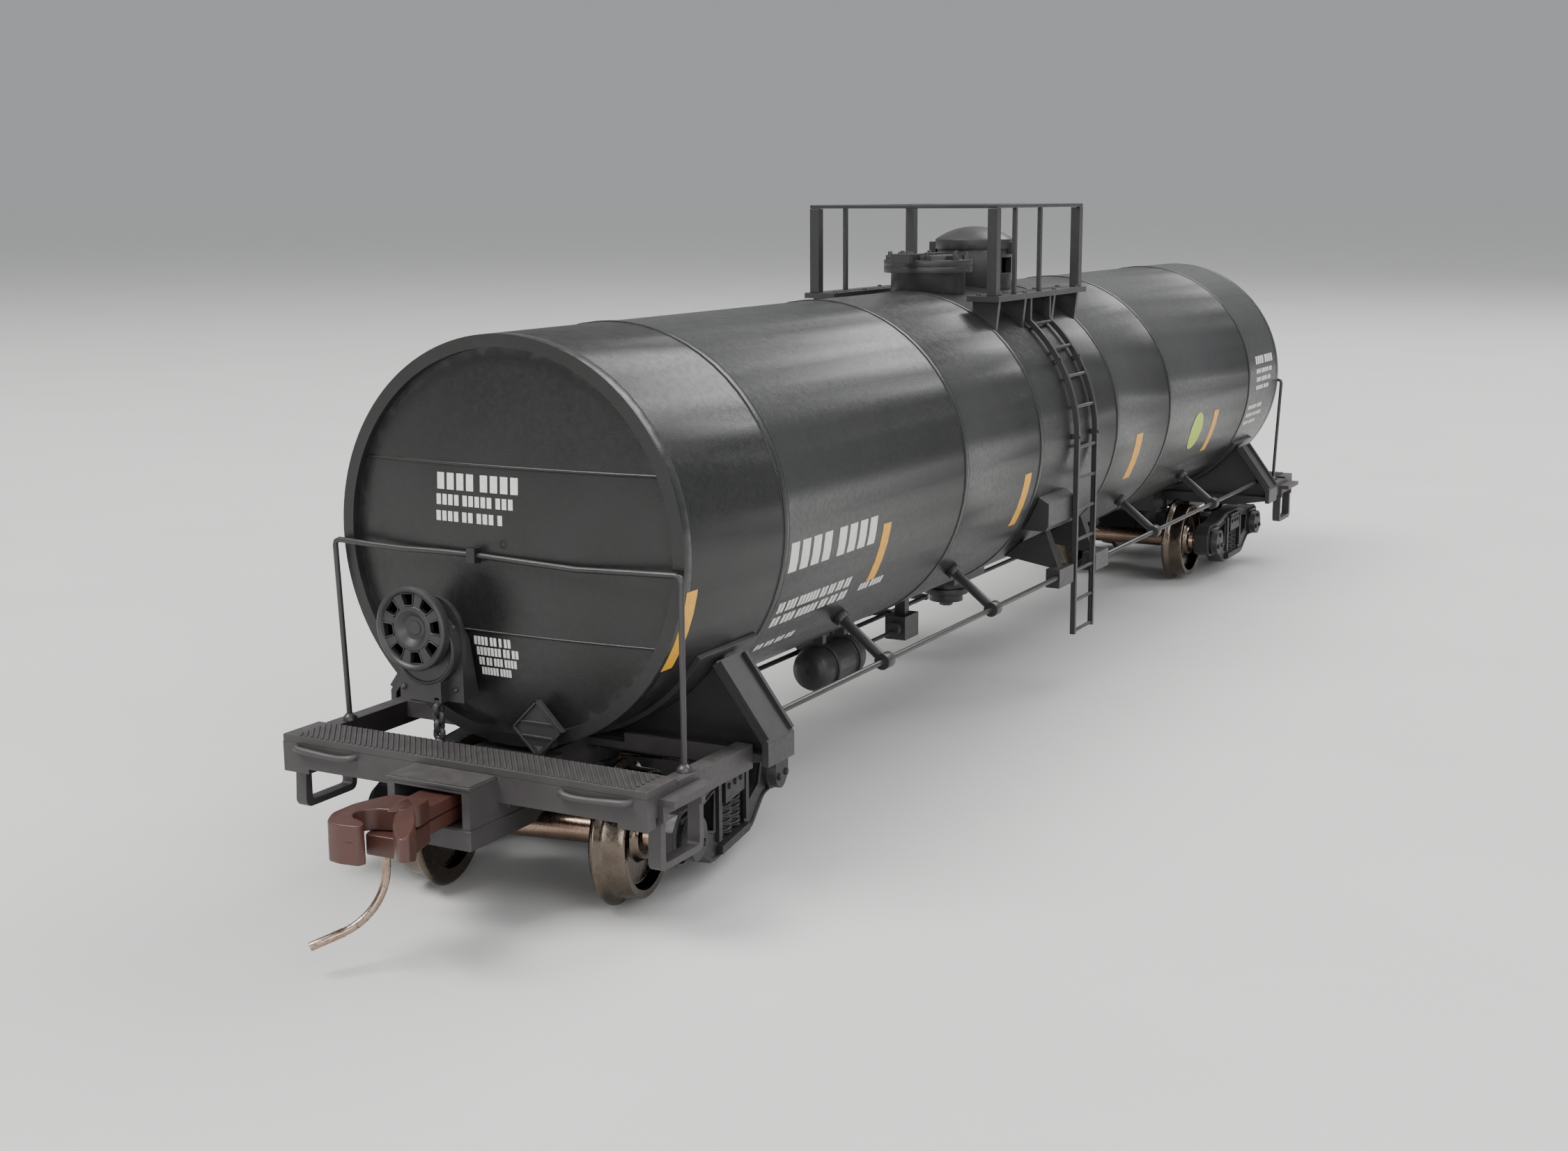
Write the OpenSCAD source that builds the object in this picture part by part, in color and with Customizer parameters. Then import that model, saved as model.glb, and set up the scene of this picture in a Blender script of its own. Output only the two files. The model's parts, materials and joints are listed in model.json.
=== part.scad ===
// Model tank wagon, 1:87 scale, for 16.5 mm gauge track.
// +X runs along the wagon, +Z is up and the wheels stand on z = 0.
// The brake wheel is at the -X end (end b); the other end is end a.
// End modules use a local frame: x = 0 at the walkway's outer edge, +x inwards.

/* [Tank] */
// Outer radius of the tank jacket
tank_r = 16.5; // [16.2:0.1:16.6]
// Height of the tank's axis above the rails
tank_z = 28.6; // [28.5:0.1:29.2]
// Wall thickness of the barrel moulding
tank_wall = 1.1; // [0.8:0.1:1.4]
// Distance from the walkway's outer edge to the head rim
head_in = 7.4; // [7.2:0.1:8]
// Distance of the outer seam band from the wagon's middle
seam_outer = 70.5; // [68:0.5:73]
// Distance of the middle seam band from the wagon's middle
seam_mid = 33; // [30:1:38]
// Distance of the inner seam band from the wagon's middle
seam_inner = 12.5; // [12:0.5:15]

/* [Underframe] */
// Length over the end walkways
body_len = 188; // [184:1:194]
// Height of the walkways above the rails
deck_z = 12.7; // [12.6:0.1:13]
// Half width over the side beams
deck_half = 17.5; // [17.3:0.1:17.8]
// Depth of an end walkway
walk_depth = 4.3; // [3.8:0.1:4.6]
// Distance of the truck pivot from the walkway's outer edge
pivot_in = 17.7; // [17.4:0.1:18.2]
// Half width of the draft box
box_half = 3.9; // [3.7:0.1:3.95]

/* [Running gear] */
// Distance between the two axles of a truck
wheelbase = 20.4; // [20:0.1:21]
// Radius over the wheel flange
flange_r = 5.88; // [5.8:0.02:5.9]
// Radius of the wheel tread
tread_r = 5.25; // [5.1:0.05:5.35]
// Distance of the wheel back from the middle of the track
wheel_back = 7.25; // [7.2:0.05:7.3]
// Width of a wheel
wheel_w = 2.8; // [2.5:0.1:3]
// Angle of the end b truck at rest
truck_turn = 10; // [0:1:10]

/* [Couplers] */
// Height of the coupler shank's middle
coupler_z = 10.05; // [10:0.05:10.1]
// Angle of both couplers at rest
coupler_turn = 5; // [0:1:6]

/* [Brake gear] */
// Sideways place of the brake wheel
wheel_y = 6.1; // [5.8:0.1:6.4]
// Height of the brake wheel's axis
wheel_z = 22; // [21.5:0.1:22.5]
// Radius of the brake wheel
wheel_r = 3.45; // [3.2:0.05:3.6]

/* [Top fittings] */
// Length over the top railing's corner posts
cage_len = 26.5; // [24:0.5:28]
// Half width of the top railing
cage_half = 11.25; // [10.5:0.25:12]
// Height of the top rail above the rails
cage_top = 54.5; // [52:0.5:56]

/* [Hidden] */
$fn = 48;
tiny = 0.02;
half_len = body_len / 2;
head_depth = 1.1;
barrel_half = half_len - head_in - head_depth;
seam_w = 0.9;
seam_h = 0.12;
rim_w = 1.05;
dome_rise = 1.1;
dome_edge_r = tank_r - rim_w;
dome_r = (pow(dome_edge_r, 2) + pow(dome_rise, 2)) / (2 * dome_rise);
rail_z = 27.6;
rail_in = 6.7;
rail_half = 16.62;
rail_r = 0.24;
eye_y = 2.6;
sill_top = 11.6;
beam_w = 1.5;
beam_z = 10.4;
beam_top = 12.4;
box_front = -3.4;
box_floor = 8.7;
box_roof = 11.45;
post_in = 3;
post_r = 1.2;
post_gap = 0.06;
bolster_w = 4.4;
pad_r = tank_r + 0.45;
axle_z = flange_r;
axle_r = 1.2;
journal_r = 0.6;
journal_gap = 0.05;
frame_in = 11.3;
frame_w = 1.9;
pivot_r = 1;
pivot_gap = 0.07;
side_rod_y = 16.9;
side_rod_z = 13.7;
side_rod_r = 0.27;
side_arm_x = [26.6, 52.4];
ladder_w = 6.4;
ladder_out = 17.35;
ladder_low = 6.3;
platform_z = 44.2;
shaft_r = 0.55;

body_black = [0.10, 0.11, 0.11];
frame_grey = [0.20, 0.19, 0.20];
dark_grey = [0.14, 0.14, 0.15];
coupler_brown = [0.40, 0.22, 0.18];
pin_bronze = [0.52, 0.42, 0.36];
wheel_metal = [0.26, 0.23, 0.21];
steel = [0.55, 0.55, 0.56];

// ---- placing and drawing helpers ----

// Puts a shape drawn in the end frame at end b, or turned round at end a.
module at_b() translate([-half_len, 0, 0]) children();
module at_a() rotate([0, 0, 180]) at_b() children();

module both_sides() {
    children();
    mirror([0, 1, 0]) children();
}

module both_ends() {
    at_b() children();
    at_a() children();
}

module box(low, high) translate(low) cube(high - low);

module along_x(x0, x1, r, y = 0, z = tank_z)
    translate([x0, y, z]) rotate([0, 90, 0]) cylinder(h = x1 - x0, r = r);

module along_y(y0, y1, r, x = 0, z = axle_z)
    translate([x, y1, z]) rotate([90, 0, 0]) cylinder(h = y1 - y0, r = r);

// Extrudes an outline of [y, z] points along X.
module yz_plate(x0, x1) translate([x0, 0, 0]) rotate([90, 0, 90]) linear_extrude(x1 - x0) children();

// Extrudes an outline of [x, z] points along Y.
module xz_plate(y0, y1) translate([0, y1, 0]) rotate([90, 0, 0]) linear_extrude(y1 - y0) children();

// Part of a ring round the tank's axis, from angle a0 to a1, counted from +Y towards +Z.
module tank_arc(x0, x1, r0, r1, a0, a1)
    translate([x0, 0, tank_z]) rotate([90, 0, 90]) rotate([0, 0, a0])
        rotate_extrude(angle = a1 - a0, $fn = 96) translate([r0, 0]) square([r1 - r0, x1 - x0]);

module rod(p, q, r) {
    d = q - p;
    translate(p) rotate([0, acos(d.z / norm(d)), atan2(d.y, d.x)]) cylinder(h = norm(d), r = r, $fn = 24);
}

// A wire bent through a list of points, with a ball at each bend.
module wire(points, r) {
    for (i = [0 : len(points) - 2]) rod(points[i], points[i + 1], r);
    for (p = points) translate(p) sphere(r, $fn = 24);
}

// ---- tank ----

module tank_barrel() color(body_black) difference() {
    union() {
        along_x(-barrel_half, barrel_half, tank_r, $fn = 128);
        for (x = [seam_outer, seam_mid, seam_inner], s = [-1, 1])
            along_x(s * x - seam_w / 2, s * x + seam_w / 2, tank_r + seam_h, $fn = 128);
    }
    along_x(-barrel_half - 1, barrel_half + 1, tank_r - tank_wall, $fn = 128);
}

// Depth of the dished head at radius r, from the rim's outer face inwards.
function dome_depth(r) = head_in - 0.3 + dome_r - sqrt(pow(dome_r, 2) - pow(r, 2));

// A dished end cap with a raised rim and a spigot that plugs into the barrel.
module tank_head(has_brake) color(body_black) {
    joint_x = head_in + head_depth;
    spigot_r = tank_r - tank_wall;
    difference() {
        translate([0, 0, tank_z]) rotate([0, 90, 0]) rotate_extrude($fn = 128) polygon(concat(
            [for (i = [0 : 8]) [dome_edge_r * i / 8, dome_depth(dome_edge_r * i / 8)]],
            [[dome_edge_r, head_in], [tank_r, head_in], [tank_r, joint_x], [spigot_r, joint_x],
             [spigot_r, joint_x + 2], [spigot_r - 1, joint_x + 2], [spigot_r - 1, joint_x + 0.6],
             [0, joint_x + 0.6]]));
        if (has_brake) along_x(head_in - 1, joint_x + 1, shaft_r, wheel_y, wheel_z - 2);
    }
    difference() {
        box([rail_in - 0.5, eye_y - 0.4, rail_z - 0.6], [head_in + 0.4, eye_y + 0.4, rail_z + 0.6]);
        along_y(eye_y - 1, eye_y + 1, rail_r + tiny, rail_in, rail_z);
    }
}
module tank_head_b() at_b() tank_head(true);
module tank_head_a() at_a() tank_head(false);

// Steel bar glued to the bottom of the barrel to give the wagon its weight.
bar_half = 6;
bar_floor = tank_z - sqrt(pow(tank_r - tank_wall, 2) - pow(bar_half, 2));
module ballast_bar() color(steel)
    box([-60, -bar_half, bar_floor + tiny], [60, bar_half, bar_floor + 4.5]);

// ---- end frames ----

// Stub sill with the draft box, side beams, end sill, step ledges and cross tie.
module end_frame() color(frame_grey) {
    difference() {
        union() {
            box([box_front, -box_half, box_floor], [9, box_half, sill_top]);
            box([box_front, -box_half, sill_top], [0, box_half, box_roof + 0.65]);
            box([9 - tiny, -2.8, box_floor + 0.3], [24, 2.8, sill_top]);
            box([0, -deck_half, 10], [1.2, deck_half, 12.1]);
            translate([pivot_in, 0, box_floor + 0.2]) cylinder(h = 1.3, r = 3);
        }
        box([box_front - 1, -3.2, box_floor - 1], [8.2, 3.2, box_roof]);
        translate([pivot_in, 0, box_floor]) cylinder(h = 2.5, r = pivot_r - 0.05);
    }
    difference() {
        translate([post_in, 0, box_floor]) cylinder(h = sill_top - box_floor, r = post_r);
        translate([post_in, 0, box_floor - 1]) cylinder(h = 3, r = 0.6);
    }
    both_sides() {
        beam_in = deck_half - beam_w;
        box([1.2 - tiny, beam_in, beam_z], [walk_depth + tiny, deck_half, 12.1]);
        box([walk_depth, beam_in, beam_z], [pivot_in - bolster_w / 2 + 0.3, deck_half, beam_top]);
        box([0, deck_half - 2.6, 9.6], [1.2, deck_half, 10 + tiny]);
        box([1.6, deck_half - tiny, 11.2], [7.6, deck_half + 1.4, 11.75]);
        box([13.9, 2.7, 11], [15.1, beam_in + tiny, sill_top]);
        box([13.9, 6.5, sill_top - tiny], [14.3, beam_in + tiny, beam_top]);
    }
}
module end_frame_b() at_b() end_frame();
module end_frame_a() at_a() end_frame();

// End walkway board across the wagon.
module walkway() color(frame_grey) box([0, -deck_half, 12.1], [walk_depth, deck_half, deck_z]);
module walkway_b() at_b() walkway();
module walkway_a() at_a() walkway();

pad_a = 32;
brace_top = [14.4, 18.9];
brace_knee = [19.1, deck_z];
// Body bolster: slanted side braces, webs and the curved pad that carries the tank.
module saddle() color(dark_grey) {
    x0 = pivot_in - bolster_w / 2;
    x1 = pivot_in + bolster_w / 2;
    tank_arc(13.1, 22.5, tank_r, pad_r, -180 + pad_a, -pad_a);
    both_sides() {
        yz_plate(x0, x1) polygon([brace_top, brace_knee, [19.1, 10.7], [18.5, 10.7],
            [18.5, deck_z - 0.2], [14, 18.5]]);
        difference() {
            yz_plate(pivot_in - 0.5, pivot_in + 0.5) polygon([[2.82, 10.9], [18.6, 10.9],
                [18.6, 12.8], [14.2, 18.7], [2.82, 13]]);
            along_x(x0, x1, tank_r + 0.2, $fn = 96);
        }
        yz_plate(x0 + 0.3, x1 - 0.3)
            polygon([[2.82, 10.2], [14, 10.2], [18.55, 11], [18.55, 11.6], [2.82, 11.6]]);
    }
}
module saddle_b() at_b() saddle();
module saddle_a() at_a() saddle();

lid_low = 7;
// Screwed cover that closes the draft box from below.
module draft_lid() color(frame_grey) difference() {
    union() {
        box([box_front, -box_half, lid_low + 0.5], [9, box_half, box_floor]);
        xz_plate(-box_half, box_half) polygon([[box_front, lid_low], [5, lid_low], [6, lid_low + 0.6],
            [box_front, lid_low + 0.6]]);
    }
    translate([post_in, 0, lid_low - 1]) cylinder(h = 4, r = 0.6);
    translate([post_in, 0, lid_low - 1]) cylinder(h = 1.7, r = 1.25);
}
module draft_lid_b() at_b() draft_lid();
module draft_lid_a() at_a() draft_lid();

module screw(head_z, head_r, head_h, shank_r, shank_h) {
    difference() {
        translate([0, 0, head_z]) cylinder(h = head_h, r = head_r);
        translate([-head_r, -0.2, head_z - tiny]) cube([2 * head_r, 0.4, 0.35]);
    }
    translate([0, 0, head_z + head_h - tiny]) cylinder(h = shank_h, r = shank_r);
}
module draft_screws() color(steel) both_ends()
    translate([post_in, 0, 0]) screw(lid_low + 0.02, 1.2, 0.68, 0.58, 2.9);

screw_head_z = 3.9;
module truck_screws() color(steel) both_ends()
    translate([pivot_in, 0, 0]) {
        screw(screw_head_z, 1.9, 1.2, pivot_r, 3.75);
        translate([0, 0, screw_head_z + 4.9]) cylinder(h = 2, r = pivot_r - 0.05);
    }

// ---- end details ----

// Bent wire rail from deck to deck, threaded through the eye on the tank head.
module handrail() color(dark_grey) {
    wire([[rail_in, rail_half, beam_top + rail_r], [rail_in, rail_half, rail_z],
        [rail_in, -rail_half, rail_z], [rail_in, -rail_half, beam_top + rail_r]], rail_r);
    both_sides() translate([rail_in, rail_half, beam_top]) cylinder(h = 0.45, r = 0.6);
}
module handrail_b() at_b() handrail();
module handrail_a() at_a() handrail();

housing_low = 15.9;
cover_z = 20.3;
housing_back = head_in - 0.12;
// Gearbox of the hand brake: tapered back, riveted flange and round gear cover.
module brake_housing() color(dark_grey) at_b() difference() {
    union() {
        yz_plate(4.75, 5.25) translate([wheel_y, 0]) union() {
            translate([-3.5, housing_low]) square([5.75, 5.4]);
            translate([-0.3, wheel_z - 0.7]) circle(3.2);
        }
        yz_plate(5.25 - tiny, housing_back) translate([wheel_y, 0]) polygon([[-3.1, housing_low],
            [2, housing_low], [2, 21], [1, 22.4], [-1.2, 22.4], [-2.3, 20.6]]);
        yz_plate(3.9, 4.8) translate([wheel_y, 0]) union() {
            translate([-1.9, housing_low]) square([4.1, 4.4]);
            translate([-0.3, cover_z]) circle(3.1);
            translate([0, wheel_z]) circle(1.8);
        }
        along_x(housing_back - tiny, head_in + 0.9, shaft_r, wheel_y, wheel_z - 2);
        for (p = [[-2.75, housing_low + 1], [-2.75, wheel_z], [1.75, housing_low + 1]])
            along_x(p.x < 0 ? 4.6 : 3.75, 4.85, 0.22, wheel_y + p.x, p.y);
    }
    along_x(3, 6.3, shaft_r + journal_gap, wheel_y, wheel_z);
    translate([4.1, 4.66, 15]) cylinder(h = 1.3, r = 0.3);
}

// Eight-slot hand wheel with a dished hub; its shaft turns in the housing.
module brake_wheel() color(dark_grey) at_b() {
    difference() {
        union() {
            along_x(2.75, 3.45, wheel_r, wheel_y, wheel_z);
            along_x(2.6, 3.45, wheel_r - 0.05, wheel_y, wheel_z);
        }
        difference() {
            along_x(2.5, 2.8, wheel_r - 0.4, wheel_y, wheel_z);
            along_x(2.4, 2.9, 1.75, wheel_y, wheel_z);
        }
        along_x(2.5, 2.95, 1.35, wheel_y, wheel_z);
        for (i = [0 : 7]) translate([0, wheel_y, wheel_z]) rotate([i * 45 - 7, 0, 0])
            yz_plate(2, 4) polygon([[-0.38, 1.9], [0.38, 1.9], [0.68, 2.85], [-0.68, 2.85]]);
    }
    along_x(3.4, 6.2, shaft_r, wheel_y, wheel_z);
}

chain_x = 4.1;
chain_y = 4.66;
chain_pitch = 0.8;
// Moulded chain: rings set crosswise in turn, fused where they cross.
module brake_chain() color(dark_grey) at_b() {
    for (i = [0 : 2]) translate([chain_x, chain_y, deck_z + 0.76 + i * chain_pitch])
        rotate([90, 0, i % 2 * 90]) rotate_extrude($fn = 32) translate([0.45, 0]) circle(0.19, $fn = 24);
    translate([chain_x, chain_y, deck_z]) cylinder(h = 0.3, r = 0.4);
    translate([chain_x, chain_y, deck_z + 2.7]) cylinder(h = 0.72, r = 0.28);
}

placard_y = -3.45;
placard_z = 14.2;
// Diamond placard board on a short foot, with its block on the head rim.
module placard() color(dark_grey) {
    translate([6.1, placard_y, placard_z]) rotate([45, 0, 0]) difference() {
        box([0, -1.66, -1.66], [0.6, 1.66, 1.66]);
        box([-1, -1.5, -1.5], [0.12, 1.5, 1.5]);
    }
    box([6.65, placard_y - 1, 12.65], [head_in, placard_y + 1, 13.5]);
    translate([6.4, placard_y, sill_top]) cylinder(h = 1.2, r = 0.45);
}
module placard_b() at_b() placard();
module placard_a() at_a() placard();

// Rounded U-shaped corner steps, one each side.
module stirrups() color(frame_grey) both_sides() {
    xz_plate(16.6, 17.7) difference() {
        hull() {
            translate([1.6, beam_z - 0.5]) square([6.1, 0.5]);
            for (x = [2.1, 7]) translate([x, 6.8]) circle(0.7, $fn = 32);
        }
        hull() {
            translate([2.2, beam_z - 0.4]) square([4.9, 1]);
            for (x = [2.5, 6.8]) translate([x, 6.95]) circle(0.3, $fn = 32);
        }
    }
    difference() {
        box([1.6, deck_half, beam_z - 0.5], [7.7, deck_half + 0.4, 11.2]);
        box([2.2, deck_half - 1, beam_z - 1], [7.1, deck_half + 1, beam_z + 0.1]);
    }
}
module stirrups_b() at_b() stirrups();
module stirrups_a() at_a() stirrups();

// Horizontal grab irons on the end sill faces, two at each end.
module grab_irons() color(frame_grey) both_ends() both_sides() {
    along_y(9.9, 16.1, 0.3, -0.45, 11.6);
    for (y = [9.9, 15.6]) box([-0.45, y, 11.4], [0, y + 0.5, 11.8]);
}

// ---- sides ----

// Rods along both flanks, from each saddle's web to a block beside the ladder.
module side_rods() color(dark_grey) both_sides() for (s = [0, 180]) rotate([0, 0, s])
    along_x(ladder_w / 2 + 0.3, half_len - pivot_in - 0.5, side_rod_r, -side_rod_y, side_rod_z);

// Round-ended arms that hold the side rods out from the tank's underside.
module rod_arms() color(dark_grey) both_sides() for (x = side_arm_x, s = [-1, 1]) translate([s * x, 0, 0]) {
    difference() {
        union() {
            along_x(-0.7, 0.7, 0.75, side_rod_y, side_rod_z);
            rod([0, side_rod_y, side_rod_z], [0, 12.7, 17], 0.5);
            rod([0, 12.7, 17], [0, 11.4, 18], 0.8);
        }
        along_x(-1, 1, side_rod_r, side_rod_y, side_rod_z);
        along_x(-2, 2, tank_r, $fn = 96);
    }
}

rung_pitch = 3.5;
ladder_top_a = 50;
// Centre ladder: two strings that follow the tank and drop to step height, with rungs.
module ladder() color(dark_grey) {
    string_t = 0.5;
    mid_r = ladder_out - 0.3;
    for (x = [-ladder_w / 2, ladder_w / 2 - string_t]) {
        tank_arc(x, x + string_t, ladder_out - 0.6, ladder_out, 0, ladder_top_a);
        box([x, ladder_out - 0.6, ladder_low], [x + string_t, ladder_out, tank_z + tiny]);
        box([x, 10.7, 41.5], [x + string_t, 11.3, platform_z]);
    }
    for (z = [ladder_low + 0.3 : rung_pitch : tank_z])
        translate([0, mid_r, z]) rotate([0, 90, 0]) cylinder(h = ladder_w - 0.2, r = 0.2, center = true);
    for (a = [12 : 12 : ladder_top_a - 1])
        translate([0, mid_r * cos(a), tank_z + mid_r * sin(a)]) rotate([0, 90, 0])
            cylinder(h = ladder_w - 0.2, r = 0.2, center = true);
    for (a = [0, 30], x = [-ladder_w / 2, ladder_w / 2 - string_t])
        tank_arc(x, x + string_t, tank_r, ladder_out - 0.5, a, a + 2);
}
module ladder_left() mirror([0, 1, 0]) ladder();
module ladder_right() ladder();

// Blocks low on the tank that brace the ladders and carry the side rods past them.
module ladder_feet() color(dark_grey) both_sides() {
    difference() {
        yz_plate(-10.5, -2.5)
            polygon([[13, 19.2], [16.3, 19.2], [16.7, 19.8], [16.7, 22.3], [15, 23.3]]);
        along_x(-11, -2, tank_r, $fn = 96);
    }
    for (s = [0, 1]) mirror([s, 0, 0]) {
        difference() {
            box([-8.2, 15.6, 12.5], [-3.6, ladder_out - 0.1, 14.6]);
            along_x(-9, 0, side_rod_r, side_rod_y, side_rod_z);
        }
        difference() {
            yz_plate(-6.4, -5) polygon([[9, 15.5], [15.7, 14.4], [16.4, 14.5], [14.8, 18.6]]);
            along_x(-9, 0, tank_r, $fn = 96);
        }
    }
}

// ---- top fittings ----

// Two side footboards with grating slots and the brackets that stand them on the tank,
// notched where they cross the inner seam bands.
module top_platform() color(dark_grey) both_sides() {
    half = cage_len / 2 + 0.4;
    difference() {
        box([-half, 8, platform_z], [half, cage_half + 0.5, platform_z + 0.6]);
        for (x = [-half + 1.4 : 1.3 : half - 1.4])
            box([x - 0.35, 8.5, platform_z - 1], [x + 0.35, cage_half - 1, platform_z + 1]);
    }
    for (x = [-half + 1.5, -4.5, 4.5, half - 1.5]) difference() {
        yz_plate(x - 0.3, x + 0.3) polygon([[8.2, platform_z + tiny], [cage_half, platform_z + tiny],
            [cage_half - 0.4, 40.6], [8.2, 42]]);
        along_x(x - 1, x + 1, tank_r, $fn = 96);
        for (s = [-1, 1])
            along_x(s * seam_inner - seam_w / 2, s * seam_inner + seam_w / 2, tank_r + seam_h, $fn = 128);
    }
}

post_w = 1.1;
thin_post = [0.5, 0.5, cage_top - platform_z - 1];
// Four stout corner posts, two thin posts on the right side and one on the left.
module railing_posts() color(dark_grey) {
    half = cage_len / 2;
    both_sides() for (x = [-half, half - post_w])
        box([x, cage_half - post_w, platform_z + 0.6], [x + post_w, cage_half, cage_top - 0.4]);
    for (x = [-7.8, -0.3]) translate([x, -cage_half, platform_z + 0.6]) cube(thin_post);
    translate([-5.1, cage_half - 0.5, platform_z + 0.6]) cube(thin_post);
}

// Flat hoop that runs round the tops of the posts.
module top_rail() color(dark_grey) difference() {
    box([-cage_len / 2, -cage_half, cage_top - 0.4], [cage_len / 2, cage_half, cage_top]);
    box([0.45 - cage_len / 2, 0.45 - cage_half, cage_top - 1],
        [cage_len / 2 - 0.45, cage_half - 0.45, cage_top + 1]);
}

tank_top = tank_z + tank_r;
manway_x = -6;
manway_z = tank_top + 2.6;
valve_x = 7.2;
module manway_nozzle() color(dark_grey) difference() {
    union() {
        translate([manway_x, 0, tank_top - 1.5]) cylinder(h = 4.1, r = 4.2);
        translate([manway_x, 0, manway_z - 0.7]) cylinder(h = 0.7, r = 5);
    }
    along_x(-20, 20, tank_r, $fn = 96);
}

// Bolted cover plate with its lifting bar.
module manway_cover() color(dark_grey) translate([manway_x, 0, manway_z]) {
    cylinder(h = 0.7, r = 5);
    translate([0, 0, 0.7]) cylinder(h = 0.5, r = 3.4);
    box([-7.6, -0.5, 0.7], [4.5, 0.5, 1.4]);
    box([-7.6, -1.1, 0.5], [-6.6, 1.1, 1.5]);
}

module manway_bolts() color(dark_grey) for (i = [0 : 7]) translate([manway_x, 0, manway_z + 0.7])
    rotate([0, 0, 22.5 + i * 45]) translate([4.3, 0, 0]) {
        cylinder(h = 0.5, r = 0.5, $fn = 6);
        cylinder(h = 0.9, r = 0.25);
    }

// Round protective housing over the valves, with a side window on each side.
module valve_housing() color(dark_grey) difference() {
    translate([valve_x, 0, tank_top - 1.5]) cylinder(h = 5.7, r = 4.4);
    along_x(-20, 20, tank_r, $fn = 96);
    translate([valve_x, 0, tank_top + 0.6]) cylinder(h = 5, r = 3.7);
    box([valve_x - 1.5, -6, tank_top + 1.4], [valve_x + 1.5, 6, tank_top + 3.2]);
}

// Domed lid of the valve housing with its hinge and hasp.
module valve_lid() color(dark_grey) {
    translate([valve_x, 0, tank_top + 4.2]) cylinder(h = 0.8, r = 4.6);
    intersection() {
        translate([valve_x, 0, tank_top - 1]) sphere(7.8, $fn = 64);
        translate([valve_x, 0, tank_top + 4.9]) cylinder(h = 4, r = 4.6);
    }
    box([valve_x - 1.2, 4.42, tank_top + 3.4], [valve_x + 1.2, 5.3, tank_top + 5]);
    box([valve_x - 0.5, -5, tank_top + 3.6], [valve_x + 0.5, -4.42, tank_top + 5]);
}

relief_x = 1.2;
relief_y = 5.6;
module relief_valve() color(dark_grey) {
    difference() {
        translate([relief_x, relief_y, tank_top - 1.6]) cylinder(h = 3.4, r = 1.1);
        along_x(-2, 5, tank_r, $fn = 96);
    }
    translate([relief_x, relief_y, tank_top + 1.7]) cylinder(h = 1.4, r = 1.5);
    translate([relief_x, relief_y, tank_top + 3]) cylinder(h = 0.9, r = 0.6);
}

// ---- below the tank ----

tank_low = tank_z - tank_r;
// Skid-shaped saddle and stepped outlet nozzle under the middle of the tank.
module outlet_saddle() color(dark_grey) difference() {
    union() {
        box([-4.5, -3, tank_low - 1.2], [4.5, 3, tank_low + 0.6]);
        translate([0, 0, tank_low - 3]) cylinder(h = 2.5, r = 2.1);
        translate([0, 0, tank_low - 3]) cylinder(h = 0.7, r = 2.6);
    }
    along_x(-20, 20, tank_r, $fn = 96);
}

module outlet_cap() color(dark_grey) {
    translate([0, 0, tank_low - 3.9]) cylinder(h = 0.9, r = 2);
    translate([0, 0, tank_low - 4.5]) cylinder(h = 0.7, r = 0.8, $fn = 6);
}

// Hanger strap from the tank's underside down round a cylinder lying along X.
module strap(x, y, z, r) difference() {
    union() {
        along_x(x - 0.4, x + 0.4, r + 0.35, y, z);
        box([x - 0.4, y - 0.6, z], [x + 0.4, y + 0.6, tank_low + 2]);
    }
    along_x(x - 1, x + 1, r, y, z);
    along_x(x - 1, x + 1, tank_r, $fn = 96);
}

res_y = -3.4;
res_r = 2.2;
res_z = 8.8;
module air_reservoir() color(dark_grey) {
    translate([-42, res_y, res_z]) rotate([0, 90, 0]) rotate_extrude() polygon([[0, 0], [1.2, 0.1],
        [1.9, 0.5], [res_r, 1.2], [res_r, 8.8], [1.9, 9.5], [1.2, 9.9], [0, 10]]);
    for (x = [-39.4, -34.6]) strap(x, res_y, res_z, res_r - tiny);
}

module brake_cylinder() color(dark_grey) {
    along_x(-29, -22.5, 1.7, 3.2, 9.2);
    along_x(-29.4, -28.7, 2, 3.2, 9.2);
    along_x(-22.6, -21.8, 1, 3.2, 9.2);
    strap(-25.5, 3.2, 9.2, 1.7 - tiny);
}

module control_valve() color(dark_grey) difference() {
    union() {
        box([-21.5, -4.6, 8], [-18, -2.2, 10.6]);
        box([-20.3, -4, 10.5], [-19.2, -2.8, tank_low + 1]);
        along_x(-22.3, -17.2, 0.8, -3.4, 9.2);
    }
    along_x(-30, -10, tank_r, $fn = 96);
}

rod_z = 9.6;
link_y = 4;
// Pull rods, floating levers and the air pipe between the brake parts.
module brake_rods() color(dark_grey) {
    for (s = [-1, 1]) {
        x0 = s < 0 ? -54 : 6;
        along_x(x0, x0 + 48, 0.25, 0, rod_z);
        box([s * 6 - 0.3, -0.3, rod_z - 0.3], [s * 6 + 0.3, link_y + 0.3, rod_z + 0.3]);
        for (x = [30, 53]) translate([s * x, 0, rod_z - 0.3]) cylinder(h = tank_low + 0.3 - rod_z, r = 0.35);
    }
    along_x(-6, 6, 0.25, link_y, rod_z);
    box([-16.4, -0.6, rod_z - 0.35], [-15.6, 4.2, rod_z + 0.35]);
    along_x(-21.8, -16, 0.3, 3.2, rod_z - 0.1);
    along_x(-32, -22.3, 0.22, res_y, 9);
}

// ---- couplers ----

layer = 1.07;
shank_half = 1.65;
head_low = 8.5;
head_high = 11.95;
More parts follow.
